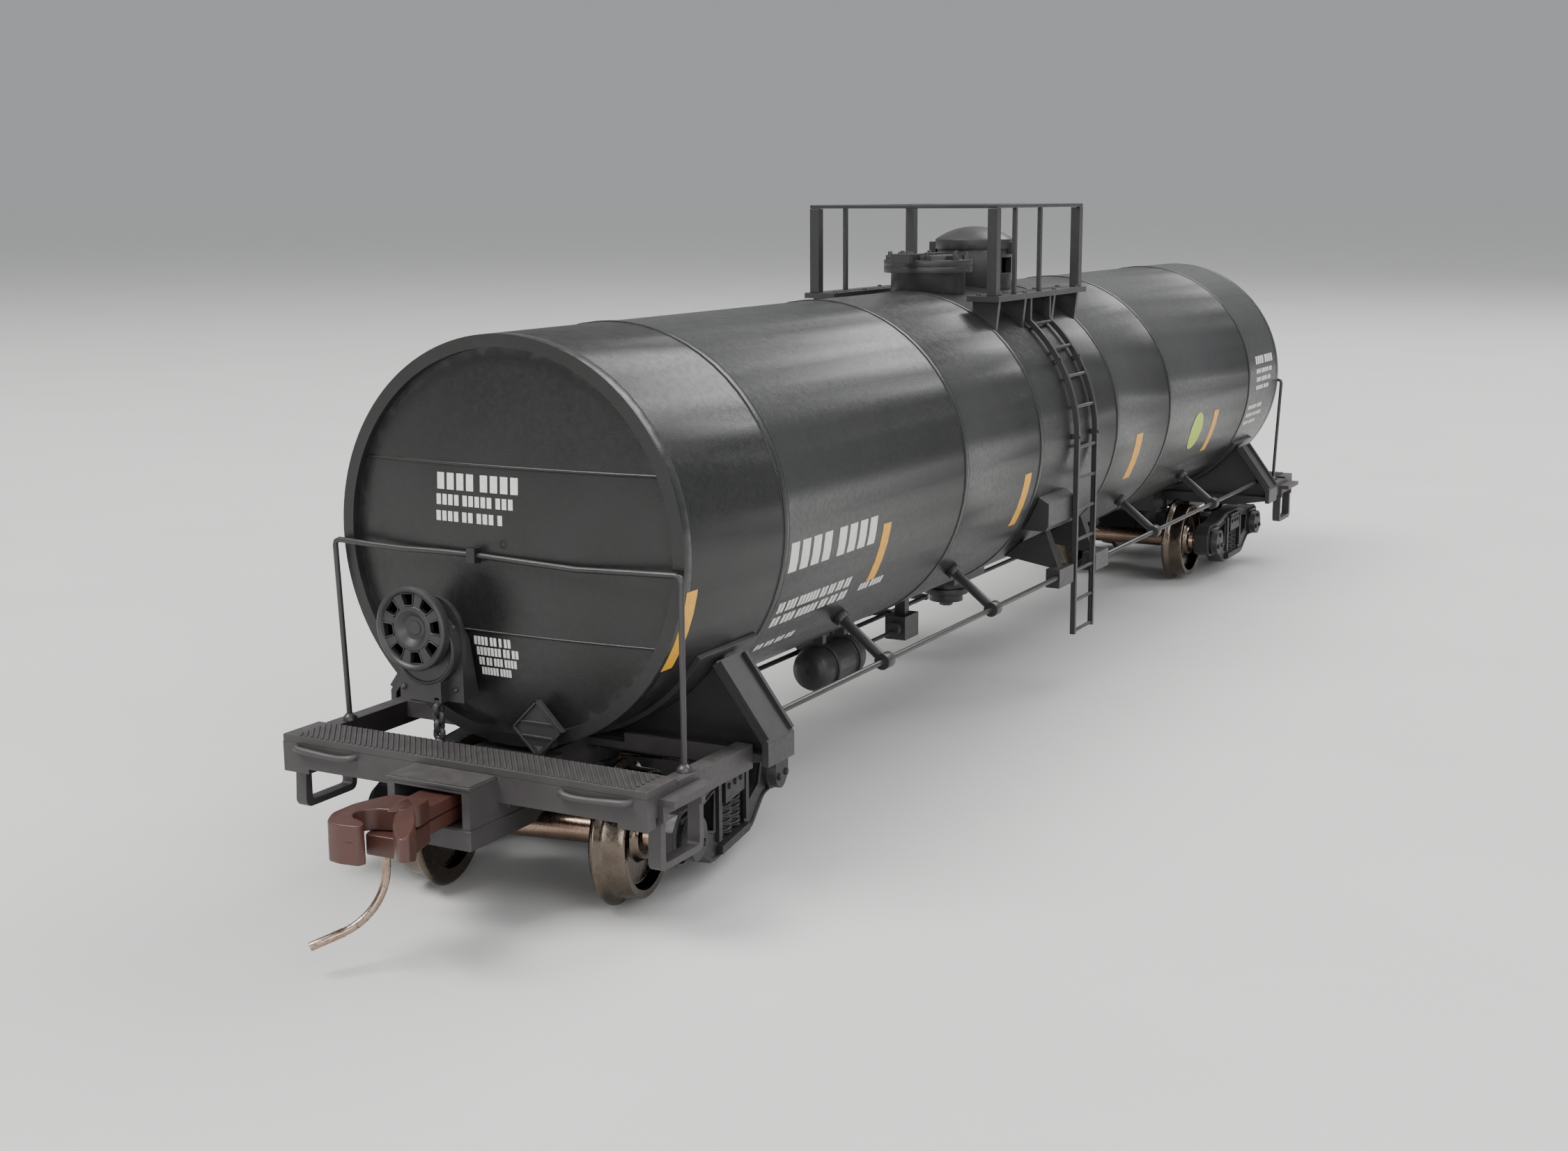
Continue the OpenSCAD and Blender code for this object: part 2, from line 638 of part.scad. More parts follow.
// Shank with the eye that turns on the draft box post.
module shank(z0) difference() {
    union() {
        translate([0, 0, z0]) cylinder(h = layer, r = 2.5);
        box([-9.4, -shank_half, z0], [0, shank_half, z0 + layer]);
    }
    translate([0, 0, z0 - 1]) cylinder(h = 4, r = post_r + post_gap);
}

// Lower half: shank, head web and the guard arm.
module coupler_guard() color(coupler_brown) {
    shank(coupler_z - 0.03 - layer);
    translate([0, 0, 8.4]) linear_extrude(coupler_z - 0.03 - 8.4) difference() {
        polygon([[-9.3, 1.65], [-11.5, 1.7], [-12.4, 1.3], [-13.7, 1.2], [-13.7, -1.9], [-12.6, -2.4],
            [-10.8, -1.9], [-9.3, -1.65]]);
        translate([-13, -0.1]) circle(pin_r);
    }
    translate([0, 0, head_low]) linear_extrude(head_high - head_low)
        polygon([[-12.5, -1.3], [-13.6, -1.4], [-16.2, -3.2], [-16.7, -4], [-16, -4.4], [-14, -3.6],
            [-12.5, -2.6]]);
}

// Upper half: shank, head top and the hooked knuckle.
module coupler_knuckle() color(coupler_brown) {
    shank(coupler_z + 0.03);
    translate([0, 0, coupler_z + 0.03]) linear_extrude(head_high - coupler_z - 0.03)
        polygon([[-9.3, 1.65], [-10.6, 2.3], [-12.6, 3], [-13, 2.9], [-13, 1.6], [-12.3, 1.1], [-12.2, -1.3],
            [-11, -1.8], [-9.3, -1.65]]);
    translate([0, 0, head_low]) linear_extrude(head_high - head_low)
        polygon([[-12.6, 3], [-14.6, 3.2], [-15.8, 2.7], [-16.3, 1.7], [-16.1, 0], [-15.2, -0.3],
            [-14.9, 1], [-14.3, 1.7], [-12.9, 1.7]]);
}

pin_r = 0.34;
bend_r = 4.6;
bend_turn = 75;
bend_z = 7.5;
pin_heading = 141;
// Uncoupling pin: straight through the head, then bent forward and sideways.
module trip_pin() color(pin_bronze) translate([-13, -0.1, 0]) {
    overlap = 0.06;
    translate([0, 0, bend_z - overlap]) cylinder(h = 2.3, r = pin_r);
    rotate([0, 0, pin_heading]) {
        translate([bend_r, 0, bend_z]) rotate([90, 0, 0]) rotate([0, 0, 180])
            rotate_extrude(angle = bend_turn) translate([bend_r, 0]) circle(pin_r - tiny);
        translate([bend_r * (1 - cos(bend_turn)), 0, bend_z - bend_r * sin(bend_turn)])
            rotate([0, 180 - bend_turn, 0]) translate([0, 0, -overlap]) cylinder(h = 2.6, r = pin_r);
    }
}

module on_post() translate([post_in, 0, 0]) rotate([0, 0, coupler_turn]) children();
module coupler_b_guard() at_b() on_post() coupler_guard();
module coupler_b_knuckle() at_b() on_post() coupler_knuckle();
module trip_pin_b() at_b() on_post() trip_pin();
module coupler_a_guard() at_a() on_post() coupler_guard();
module coupler_a_knuckle() at_a() on_post() coupler_knuckle();
module trip_pin_a() at_a() on_post() trip_pin();

// ---- trucks ----

frame_out = frame_in + frame_w;
// One cast side frame: arched top chord, dipped bottom chord, pedestals and spring nest.
module side_frame() {
    a = wheelbase / 2;
    xz_plate(frame_in, frame_out) difference() {
        polygon([[-a - 3, 4.7], [-a - 3, 7.2], [-a - 1.8, 8.3], [-a + 2, 8.4], [-4.4, 9.3], [4.4, 9.3],
            [a - 2, 8.4], [a + 1.8, 8.3], [a + 3, 7.2], [a + 3, 4.7], [a + 1.9, 4.1], [a - 1.9, 4.1],
            [4.9, 2], [-4.9, 2], [-a + 1.9, 4.1], [-a - 1.9, 4.1]]);
        translate([-3.2, 2.9]) square([6.4, 5.2]);
        for (s = [-1, 1]) scale([s, 1])
            polygon([[4.1, 4.4], [6.9, 5.3], [7.6, 7.4], [4.1, 8]]);
    }
    for (x = [-a, a]) along_y(frame_out - tiny, frame_out + 1.1, 1.75, x);
    for (x = [-a, a], i = [0 : 2]) translate([x, 0, axle_z]) rotate([0, 30 + i * 120, 0])
        along_y(frame_out + 1, frame_out + 1.3, 0.28, 1.05, 0);
    for (x = [-2.1, 0, 2.1]) translate([x, frame_in + frame_w / 2, 2.8]) cylinder(h = 3.7, r = 0.75);
    xz_plate(frame_in + 0.2, frame_out + 0.5) polygon([[-3.4, 2.3], [3.4, 2.3], [3.4, 3], [-3.4, 3]]);
    box([-2.3, frame_in - 0.3, 6.3], [2.3, frame_out + 0.4, 8.2]);
}

// Truck frame: bolster with the centre bearing, and both side frames in one moulding.
module truck_frame() color(dark_grey) difference() {
    union() {
        both_sides() side_frame();
        yz_plate(-2.2, 2.2) polygon([[-frame_in, 6.3], [-6, 5.3], [6, 5.3], [frame_in, 6.3],
            [frame_in, 8.2], [-frame_in, 8.2]]);
        cylinder(h = 8.8, r = 3);
    }
    translate([0, 0, -1]) cylinder(h = 12, r = pivot_r + pivot_gap);
    translate([0, 0, -1]) cylinder(h = 6.3, r = 4);
    both_sides() for (x = [-1, 1] * wheelbase / 2)
        along_y(frame_in - 1, 12.65, journal_r + journal_gap, x);
}

// Truck frames turn on the pivot screws; end b's stands turned at rest.
module truck_at_b() at_b() translate([pivot_in, 0, 0]) rotate([0, 0, truck_turn]) children();
module truck_at_a() at_a() translate([pivot_in, 0, 0]) children();
module truck_frame_b() truck_at_b() truck_frame();
module truck_frame_a() truck_at_a() truck_frame();

// Wheel pair: coned treads and flanges on plate webs, pressed on the axle.
module wheels() color(wheel_metal) both_sides() translate([0, wheel_back, axle_z]) rotate([-90, 0, 0])
    rotate_extrude($fn = 96) difference() {
        polygon([[axle_r, 0], [flange_r - 0.25, 0], [flange_r, 0.25], [flange_r, 0.5],
            [tread_r + 0.2, 0.75], [tread_r, 1], [tread_r - 0.1, wheel_w - 0.1],
            [tread_r - 0.2, wheel_w], [tread_r - 0.8, wheel_w], [tread_r - 1.2, wheel_w - 0.8],
            [2.3, wheel_w - 0.8],
            [2, wheel_w - 0.1], [axle_r, wheel_w - 0.1]]);
        polygon([[2.3, -1], [tread_r - 0.5, -1], [tread_r - 0.9, 0.6], [2.7, 0.6]]);
    }

module axle() color(wheel_metal) {
    along_y(-10.5, 10.5, axle_r);
    along_y(-12.3, 12.3, journal_r);
    both_sides() translate([0, 12.3, axle_z]) rotate([-90, 0, 0])
        cylinder(h = 0.3, r1 = journal_r, r2 = 0.2);
}

module outer_axle() translate([-wheelbase / 2, 0, 0]) children();
module inner_axle() translate([wheelbase / 2, 0, 0]) children();
module wheels_b_outer() truck_at_b() outer_axle() wheels();
module wheels_b_inner() truck_at_b() inner_axle() wheels();
module wheels_a_outer() truck_at_a() outer_axle() wheels();
module wheels_a_inner() truck_at_a() inner_axle() wheels();
module axle_b_outer() truck_at_b() outer_axle() axle();
module axle_b_inner() truck_at_b() inner_axle() axle();
module axle_a_outer() truck_at_a() outer_axle() axle();
module axle_a_inner() truck_at_a() inner_axle() axle();

// ---- nodes ----

tank_barrel();
tank_head_b();
tank_head_a();
ballast_bar();
end_frame_b();
end_frame_a();
walkway_b();
walkway_a();
saddle_b();
saddle_a();
draft_lid_b();
draft_lid_a();
draft_screws();
truck_screws();
handrail_b();
handrail_a();
brake_housing();
brake_wheel();
brake_chain();
placard_b();
placard_a();
stirrups_b();
stirrups_a();
grab_irons();
side_rods();
rod_arms();
ladder_left();
ladder_right();
ladder_feet();
top_platform();
railing_posts();
top_rail();
manway_nozzle();
manway_cover();
manway_bolts();
valve_housing();
valve_lid();
relief_valve();
outlet_saddle();
outlet_cap();
air_reservoir();
brake_cylinder();
control_valve();
brake_rods();
coupler_b_guard();
coupler_b_knuckle();
trip_pin_b();
coupler_a_guard();
coupler_a_knuckle();
trip_pin_a();
truck_frame_b();
truck_frame_a();
wheels_b_outer();
axle_b_outer();
wheels_b_inner();
axle_b_inner();
wheels_a_outer();
axle_a_outer();
wheels_a_inner();
axle_a_inner();
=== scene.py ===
"""Looks of the model tank wagon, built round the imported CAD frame.

Everything is in metres in the frame of the CAD: +X along the wagon, +Z up, wheels on z = 0.
The end with the brake wheel (end b) is at -X. Shapes are worked out in millimetres, and
piece() scales them by MM.
"""
import json
import math

import bpy
from mathutils import Matrix, Vector
from mathutils.bvhtree import BVHTree


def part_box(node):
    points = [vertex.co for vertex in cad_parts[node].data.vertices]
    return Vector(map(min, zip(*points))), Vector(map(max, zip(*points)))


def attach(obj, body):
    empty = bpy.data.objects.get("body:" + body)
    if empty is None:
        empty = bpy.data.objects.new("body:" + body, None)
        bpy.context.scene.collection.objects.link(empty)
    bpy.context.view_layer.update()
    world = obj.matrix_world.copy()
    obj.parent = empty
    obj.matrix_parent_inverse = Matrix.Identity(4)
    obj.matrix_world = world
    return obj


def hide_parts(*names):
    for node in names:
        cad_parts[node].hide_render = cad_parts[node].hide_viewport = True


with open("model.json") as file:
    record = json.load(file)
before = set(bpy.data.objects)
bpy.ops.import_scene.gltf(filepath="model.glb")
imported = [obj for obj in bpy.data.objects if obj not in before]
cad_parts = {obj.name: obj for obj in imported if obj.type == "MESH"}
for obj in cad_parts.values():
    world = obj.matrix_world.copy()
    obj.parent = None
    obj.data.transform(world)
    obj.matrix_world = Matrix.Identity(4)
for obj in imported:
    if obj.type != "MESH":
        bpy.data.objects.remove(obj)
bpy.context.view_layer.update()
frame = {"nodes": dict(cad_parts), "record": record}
MM = 0.001


# ---- sizes read from the frame ----

def box_mm(node):
    """Lowest and highest corner of a CAD node, in millimetres."""
    low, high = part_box(node)
    return [v / MM for v in low], [v / MM for v in high]


head_low, head_high = box_mm("tank_head_b")
TANK_R = (head_high[1] - head_low[1]) / 2
TANK_Z = (head_high[2] + head_low[2]) / 2
walk_low, walk_high = box_mm("walkway_b")
# Half the length over the end walkways, and the height of their upper face.
HALF_LEN = -walk_low[0]
DECK_Z = walk_high[2]
SLOT_OF = {row["node"]: row["material_slot"] for row in frame["record"]["subparts"]}


# ---- materials ----

class Nodes:
    """A material's node tree, with one short call for each kind of node used here."""

    def __init__(self, name):
        self.material = bpy.data.materials.new(name)
        self.material.use_nodes = True
        self.tree = self.material.node_tree
        self.shader = self.tree.nodes["Principled BSDF"]
        self.place = self.tree.nodes.new("ShaderNodeTexCoord").outputs["Object"]

    def add(self, kind, **inputs):
        node = self.tree.nodes.new(kind)
        for key, value in inputs.items():
            self.put(node, key.replace("_", " "), value)
        return node

    def put(self, node, key, value):
        if isinstance(value, bpy.types.NodeSocket):
            self.tree.links.new(value, node.inputs[key])
        else:
            node.inputs[key].default_value = value

    def stretched(self, scale):
        return self.add("ShaderNodeMapping", Vector=self.place, Scale=scale).outputs["Vector"]

    def noise(self, size_mm, detail=2.0, vector=None):
        """Noise whose features are about size_mm across."""
        node = self.add("ShaderNodeTexNoise", Vector=vector or self.place, Scale=1 / (size_mm * MM))
        node.inputs["Detail"].default_value = detail
        return node.outputs["Fac"]

    def dots(self, pitch_mm, radius_mm):
        """1 inside small scattered dots, else 0."""
        cells = self.add("ShaderNodeTexVoronoi", Vector=self.place, Scale=1 / (pitch_mm * MM))
        near = self.tree.nodes.new("ShaderNodeMath")
        near.operation = "LESS_THAN"
        self.put(near, 0, cells.outputs["Distance"])
        self.put(near, 1, radius_mm / pitch_mm)
        return near.outputs[0]

    def between(self, value, low, high, start=0.3, end=0.7):
        node = self.tree.nodes.new("ShaderNodeMapRange")
        self.put(node, "Value", value)
        for key, number in (("From Min", start), ("From Max", end), ("To Min", low), ("To Max", high)):
            node.inputs[key].default_value = number
        return node.outputs["Result"]

    def times(self, a, b):
        node = self.tree.nodes.new("ShaderNodeMath")
        node.operation = "MULTIPLY"
        self.put(node, 0, a)
        self.put(node, 1, b)
        return node.outputs[0]

    def mix(self, factor, a, b):
        node = self.tree.nodes.new("ShaderNodeMix")
        node.data_type = "RGBA"
        self.put(node, 0, factor)
        for index, value in ((6, a), (7, b)):
            if isinstance(value, tuple):
                value = (*value, 1.0)
            self.put(node, index, value)
        return node.outputs[2]

    def bump(self, height, depth_mm, normal=None):
        node = self.add("ShaderNodeBump", Height=height, Distance=depth_mm * MM)
        if normal:
            self.put(node, "Normal", normal)
        return node.outputs["Normal"]

    def up(self):
        """1 on faces that look up, 0 on the rest."""
        normal = self.tree.nodes.new("ShaderNodeNewGeometry").outputs["Normal"]
        split = self.add("ShaderNodeSeparateXYZ", Vector=normal)
        return self.between(split.outputs["Z"], 0.0, 1.0, 0.35, 1.0)


# Pale tone blended onto faces that look up: painted light from above.
PAINTED_TOP_LIGHT = (0.30, 0.29, 0.28)
PALE_SPECK = (0.55, 0.53, 0.48)
DARK_SPECK = (0.05, 0.035, 0.03)


def moulded(name, colour, tint, rough, grain_mm, grain_depth, top_light):
    """Painted or moulded plastic: blotchy tone, fine grain in the highlight, painted top light on faces that
    look up and odd pale specks.
    """
    n = Nodes(name)
    tone = n.mix(n.between(n.noise(5, 4), 0, 1), colour, tint)
    # Painted top light: faces that look up are made paler in noisy patches.
    top_lit = n.times(n.times(n.up(), n.between(n.noise(1.4, 5), 0.2, 1.0)), top_light)
    tone = n.mix(top_lit, tone, PAINTED_TOP_LIGHT)
    chosen = n.times(n.dots(2.2, 0.035), n.between(n.noise(3.1, 1), 0, 1, 0.52, 0.56))
    tone = n.mix(n.times(chosen, 0.55), tone, PALE_SPECK)
    n.put(n.shader, "Base Color", tone)
    n.put(n.shader, "Roughness", n.between(n.noise(0.5, 3), rough - 0.05, rough + 0.06))
    fine = n.bump(n.noise(grain_mm, 2), grain_depth)
    n.put(n.shader, "Normal", n.bump(n.noise(2.5, 2), 0.006, fine))
    return n.material


def metal(name, colour, tint, rough, streak=(1, 1, 1), depth=0.003, specks=0.0):
    """Bare or blackened metal with streaks along the way it was drawn or turned."""
    n = Nodes(name)
    lines = n.noise(0.25, 4, n.stretched(streak))
    tone = n.mix(n.between(n.noise(1.6, 4), 0, 1), colour, tint)
    if specks:
        tone = n.mix(n.times(n.between(n.noise(0.3, 3), 0, 1, 0.55, 0.68), specks), tone, DARK_SPECK)
    n.put(n.shader, "Base Color", tone)
    n.put(n.shader, "Roughness", n.between(lines, rough - 0.08, rough + 0.12))
    n.put(n.shader, "Normal", n.bump(lines, depth))
    n.shader.inputs["Metallic"].default_value = 1.0
    return n.material


def printed(name, colour, tint):
    """Printed marking: a thin, slightly uneven film of ink."""
    n = Nodes(name)
    tone = n.mix(n.between(n.noise(0.5, 4), 0, 1), colour, tint)
    n.put(n.shader, "Base Color", tone)
    n.put(n.shader, "Roughness", n.between(n.noise(0.3, 2), 0.38, 0.52))
    n.put(n.shader, "Normal", n.bump(n.noise(0.12, 2), 0.003))
    return n.material


# Plastics: colour, blotch colour, roughness, grain size and depth in mm, strength of the painted top light on
# faces that look up.
PLASTICS = {
    "tank_black": ((0.0095, 0.0105, 0.0098), (0.015, 0.0142, 0.0145), 0.34, 0.13, 0.010, 0.05),
    "frame_plastic": ((0.034, 0.030, 0.031), (0.045, 0.040, 0.041), 0.50, 0.09, 0.005, 0.12),
    "detail_plastic": ((0.019, 0.018, 0.019), (0.026, 0.024, 0.025), 0.42, 0.10, 0.004, 0.08),
    "truck_plastic": ((0.0065, 0.006, 0.006), (0.011, 0.010, 0.010), 0.46, 0.10, 0.004, 0.05),
    "coupler_plastic": ((0.052, 0.020, 0.015), (0.070, 0.027, 0.020), 0.36, 0.08, 0.004, 0.02),
    "wire_painted": ((0.024, 0.022, 0.022), (0.034, 0.031, 0.031), 0.36, 0.08, 0.003, 0.05),
}
SLOTS = {name: moulded(name, *finish) for name, finish in PLASTICS.items()} | {
    "pin_metal": metal("pin_metal", (0.30, 0.215, 0.165), (0.38, 0.29, 0.23), 0.26,
                       streak=(1, 1, 4), depth=0.004, specks=0.5),
    "wheel_metal": metal("wheel_metal", (0.120, 0.098, 0.080), (0.160, 0.128, 0.102), 0.20,
                         depth=0.002, specks=0.25),
    "axle_metal": metal("axle_metal", (0.24, 0.165, 0.125), (0.31, 0.22, 0.17), 0.22,
                        streak=(6, 1, 6), depth=0.002, specks=0.2),
    "screw_steel": metal("screw_steel", (0.36, 0.36, 0.37), (0.46, 0.46, 0.46), 0.30),
    "ballast_steel": metal("ballast_steel", (0.30, 0.30, 0.31), (0.36, 0.36, 0.37), 0.38),
    "marking_yellow": printed("marking_yellow", (0.70, 0.36, 0.020), (0.60, 0.29, 0.016)),
    "marking_lime": printed("marking_lime", (0.42, 0.55, 0.030), (0.36, 0.48, 0.025)),
    "marking_white": printed("marking_white", (0.66, 0.66, 0.64), (0.56, 0.56, 0.54)),
}


# ---- mesh helpers ----

def piece(name, mesh, slot, body="car_body", smooth=40, bevel_mm=0.0, replaces=()):
    """Links a mesh, given as its vertices in mm and its faces, as a piece that rides on a body."""
    data = bpy.data.meshes.new(name)
    data.from_pydata([Vector(v) * MM for v in mesh[0]], [], mesh[1])
    data.shade_smooth()
    data.set_sharp_from_angle(angle=math.radians(smooth))
    data.materials.append(SLOTS[slot])
    shown = bpy.data.objects.new(name, data)
    bpy.context.collection.objects.link(shown)
    if bevel_mm:
        soften(shown, bevel_mm)
    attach(shown, body)
    if replaces:
        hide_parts(*replaces)
    return shown


def soften(shown, width_mm):
    """Rounds an object's edges a little, as a moulding's are."""
    weld = shown.modifiers.new("weld", "WELD")
    weld.merge_threshold = 0.0005 * MM
    bevel = shown.modifiers.new("soften", "BEVEL")
    bevel.width = width_mm * MM
    bevel.segments = 2
    bevel.limit_method = "ANGLE"
    bevel.angle_limit = math.radians(35)
    bevel.harden_normals = True
    bevel.miter_outer = "MITER_ARC"


def join(parts):
    """One (vertices, faces) pair out of several."""
    verts, faces = [], []
    for part_verts, part_faces in parts:
        start = len(verts)
        verts += part_verts
        faces += [[i + start for i in face] for face in part_faces]
    return verts, faces


def moved(part, matrix):
    return [tuple(matrix @ Vector(v)) for v in part[0]], part[1]


def block(low, high):
    """Box between two corners."""
    x0, y0, z0 = low
    x1, y1, z1 = high
    verts = [(x0, y0, z0), (x1, y0, z0), (x1, y1, z0), (x0, y1, z0),
             (x0, y0, z1), (x1, y0, z1), (x1, y1, z1), (x0, y1, z1)]
    return verts, [[0, 3, 2, 1], [4, 5, 6, 7], [0, 1, 5, 4], [1, 2, 6, 5], [2, 3, 7, 6], [3, 0, 4, 7]]


def ring_stack(rings, closed=False, capped=True):
    """Skin through rings of points that all have the same count."""
    count = len(rings[0])
    verts = [tuple(p) for ring in rings for p in ring]
    faces = []
    last = len(rings) if closed else len(rings) - 1
    for k in range(last):
        a, b = k * count, (k + 1) % len(rings) * count
        faces += [[a + i, a + (i + 1) % count, b + (i + 1) % count, b + i] for i in range(count)]
    if capped and not closed:
        faces += [list(range(count))[::-1], list(range(len(verts) - count, len(verts)))]
    return verts, faces


def tube(path, radius, sides=12, closed=False):
    """Round wire along a path of points; radius may be a number or one value per point."""
    path = [Vector(p) for p in path]
    count = len(path)
    rings = []
    side = None
    for i, p in enumerate(path):
        if closed:
            along = (path[(i + 1) % count] - path[i - 1]).normalized()
        else:
            along = (path[min(i + 1, count - 1)] - path[max(i - 1, 0)]).normalized()
        if side is None:
            side = along.orthogonal().normalized()
        side = (side - along * side.dot(along)).normalized()
        up = along.cross(side)
        r = radius[i] if isinstance(radius, (list, tuple)) else radius
        turns = [2 * math.pi * k / sides for k in range(sides)]
        rings.append([p + side * math.cos(t) * r + up * math.sin(t) * r for t in turns])
    return ring_stack(rings, closed)


def turned(profile, axis, centre, sides=48):
    """Solid of revolution: profile is a list of (along, radius) from pole to pole, axis 'x', 'y' or 'z'."""
    rings = []
    for along, radius in profile:
        ring = []
        for k in range(sides):
            t = 2 * math.pi * k / sides
            c, s = radius * math.cos(t), radius * math.sin(t)
            offset = {"x": (along, c, s), "y": (s, along, c), "z": (c, s, along)}[axis]
            ring.append(tuple(a + b for a, b in zip(centre, offset)))
        rings.append(ring)
    return ring_stack(rings)


def prism(outline, z0, z1):
    """Extrusion of an outline of (x, y) points from z0 to z1."""
    return ring_stack([[(x, y, z0) for x, y in outline], [(x, y, z1) for x, y in outline]])


def circle(radius, sides):
    turns = [2 * math.pi * k / sides for k in range(sides)]
    return [(radius * math.cos(t), radius * math.sin(t)) for t in turns]


def raised(face, height, x0, x1, z0, z1):
    """Block that stands on the plane y = face; a negative height stands towards -Y."""
    y0, y1 = sorted((face, face + height))
    return block((x0, y0, z0), (x1, y1, z1))


def at_end_b(u, y, z):
    """A point in the end frame (u = 0 at the walkway's outer edge, inwards +), at end b."""
    return (u - HALF_LEN, y, z)


TURN_ROUND = Matrix.Rotation(math.pi, 4, "Z")


def about_pivot(end, u, turn):
    """Place of a part drawn about its own pivot, u in from the wagon's end and turned by some degrees."""
    place = Matrix.Translation(Vector(at_end_b(u, 0, 0))) @ Matrix.Rotation(math.radians(turn), 4, "Z")
    return place if end == "b" else TURN_ROUND @ place


def surface_of(node):
    """Tree that finds points on a CAD node's surface."""
    shown = frame["nodes"][node]
    mesh = shown.data
    verts = [shown.matrix_world @ v.co for v in mesh.vertices]
    return BVHTree.FromPolygons(verts, [list(p.vertices) for p in mesh.polygons])


HEAD_SKIN = surface_of("tank_head_b")
BARREL_SKIN = surface_of("tank_barrel")


def on_head(y, z, lift=0.0):
    """Point of the end b head at sideways y and height z, lifted outwards."""
    start = Vector((-(HALF_LEN + 20), y, z)) * MM
    hit = HEAD_SKIN.ray_cast(start, Vector((1, 0, 0)))[0]
    return (hit.x / MM - lift, y, z)


def on_tank(x, angle, lift=0.0, side=-1):
    """Point of the barrel at x, angle in degrees above the level of its axis, on one side."""
    t = math.radians(angle)
    outwards = Vector((0, side * math.cos(t), math.sin(t)))
    axis = Vector((x, 0, TANK_Z))
    hit = BARREL_SKIN.ray_cast((axis + outwards * (TANK_R + 3)) * MM, -outwards)[0]
    at = hit / MM if hit else axis + outwards * TANK_R
    return tuple(at + outwards * lift)


def film(surface, u0, u1, v0, v1, steps_u, steps_v, thickness=0.03):
    """Thin closed sheet over a surface(u, v, lift), such as a printed patch."""
    grid = [[(u0 + (u1 - u0) * i / steps_u, v0 + (v1 - v0) * j / steps_v)
             for j in range(steps_v + 1)] for i in range(steps_u + 1)]
    top = [surface(u, v, thickness) for row in grid for u, v in row]
    under = [surface(u, v, -thickness) for row in grid for u, v in row]
    wide = steps_v + 1
    faces = []
    for i in range(steps_u):
        for j in range(steps_v):
            a = i * wide + j
            faces.append([a, a + 1, a + wide + 1, a + wide])
    count = len(top)
    faces += [[v + count for v in face[::-1]] for face in faces]
    rim = ([i * wide for i in range(steps_u + 1)] + [steps_u * wide + j for j in range(1, wide)]
           + [i * wide + steps_v for i in range(steps_u - 1, -1, -1)] + list(range(steps_v - 1, 0, -1)))
    faces += [[a, b, b + count, a + count] for a, b in zip(rim, rim[1:] + rim[:1])]
    return top + under, faces


# ---- CAD nodes: finish and softened edges ----

SOFT_EDGE = {"tank_black": 0.10, "frame_plastic": 0.10, "detail_plastic": 0.08, "truck_plastic": 0.09,
             "coupler_plastic": 0.14, "wheel_metal": 0.06, "pin_metal": 0.05, "axle_metal": 0.05,
             "screw_steel": 0.04, "ballast_steel": 0.1, "wire_painted": 0.04}


def finish_cad_nodes():
    for node, shown in frame["nodes"].items():
        slot = SLOT_OF[node]
        for k in range(len(shown.material_slots)):
            shown.material_slots[k].material = SLOTS[slot]
        if not shown.material_slots:
            shown.data.materials.append(SLOTS[slot])
        soften(shown, SOFT_EDGE[slot])


# ---- tank ----

HEAD_SEAMS = (34.7, 21.3)
HEAD_RIM = 1.1


def head_seams():
    """Raised weld lines across both heads."""
    for end in "ba":
        lines = []
        for z in HEAD_SEAMS:
            half = math.sqrt((TANK_R - HEAD_RIM) ** 2 - (z - TANK_Z) ** 2)
            path = [on_head(half * (k / 24 - 1), z) for k in range(49)]
            line = tube(path, 0.14 if z > TANK_Z else 0.1, 10)
            lines.append(line if end == "b" else moved(line, TURN_ROUND))
        piece("head_seams_" + end, join(lines), "tank_black")


def word_blocks(counts, length, gap=0.42, space=1.0):
    """Spans of plain blocks that stand for printed words, over a given length."""
    total = sum(counts) + gap * (sum(counts) - len(counts)) + space * (len(counts) - 1)
    unit = length / total
    at, spans = 0.0, []
    for count in counts:
        for _ in range(count):
            spans.append((at, at + unit))
            at += unit * (1 + gap)
        at += unit * (space - gap)
    return spans


# Blocks on the heads: how many in each group of a line, y at its left end, its length, top and bottom.
HEAD_LINES = (((4, 4), 6.5, 8.0, 33.93, 32.6), ((4, 5, 3), 6.6, 7.6, 32.2, 31.35),
              ((4, 2, 3, 1), 6.65, 6.6, 30.85, 30.05), ((4, 2, 1, 2), 3.45, 3.6, 20.82, 20.12),
              ((7, 2, 2), 3.25, 4.1, 19.95, 19.28), ((2, 2, 3, 4), 3.1, 3.7, 19.1, 18.46),
              ((6, 4), 2.9, 2.9, 18.28, 17.66))


def head_markings():
    """Rows of plain white blocks in place of the head's lettering."""
    for end in "ba":
        blocks = []
        for counts, left, length, top, bottom in HEAD_LINES:
            for start, stop in word_blocks(counts, length):
                patch = film(on_head, left - start, left - stop, bottom, top, 2, 2)
                blocks.append(patch if end == "b" else moved(patch, TURN_ROUND))
        piece("head_markings_" + end, join(blocks), "marking_white", smooth=80)


# Blocks on the tank's sides: how many in each group, x at the start, length, top and bottom angle.
SIDE_LINES = (((4, 4), -69.4, 16.4, -4.9, -13.9), ((2, 3, 6, 2, 2, 2, 2), -69.0, 13.6, -24.0, -27.6),
              ((2, 3, 5, 2, 2, 2), -69.0, 14.0, -29.2, -32.6), ((2, 2, 2, 2), -68.7, 7.0, -40.2, -42.6),
              ((3, 4), -52.4, 4.8, -28.9, -31.6))
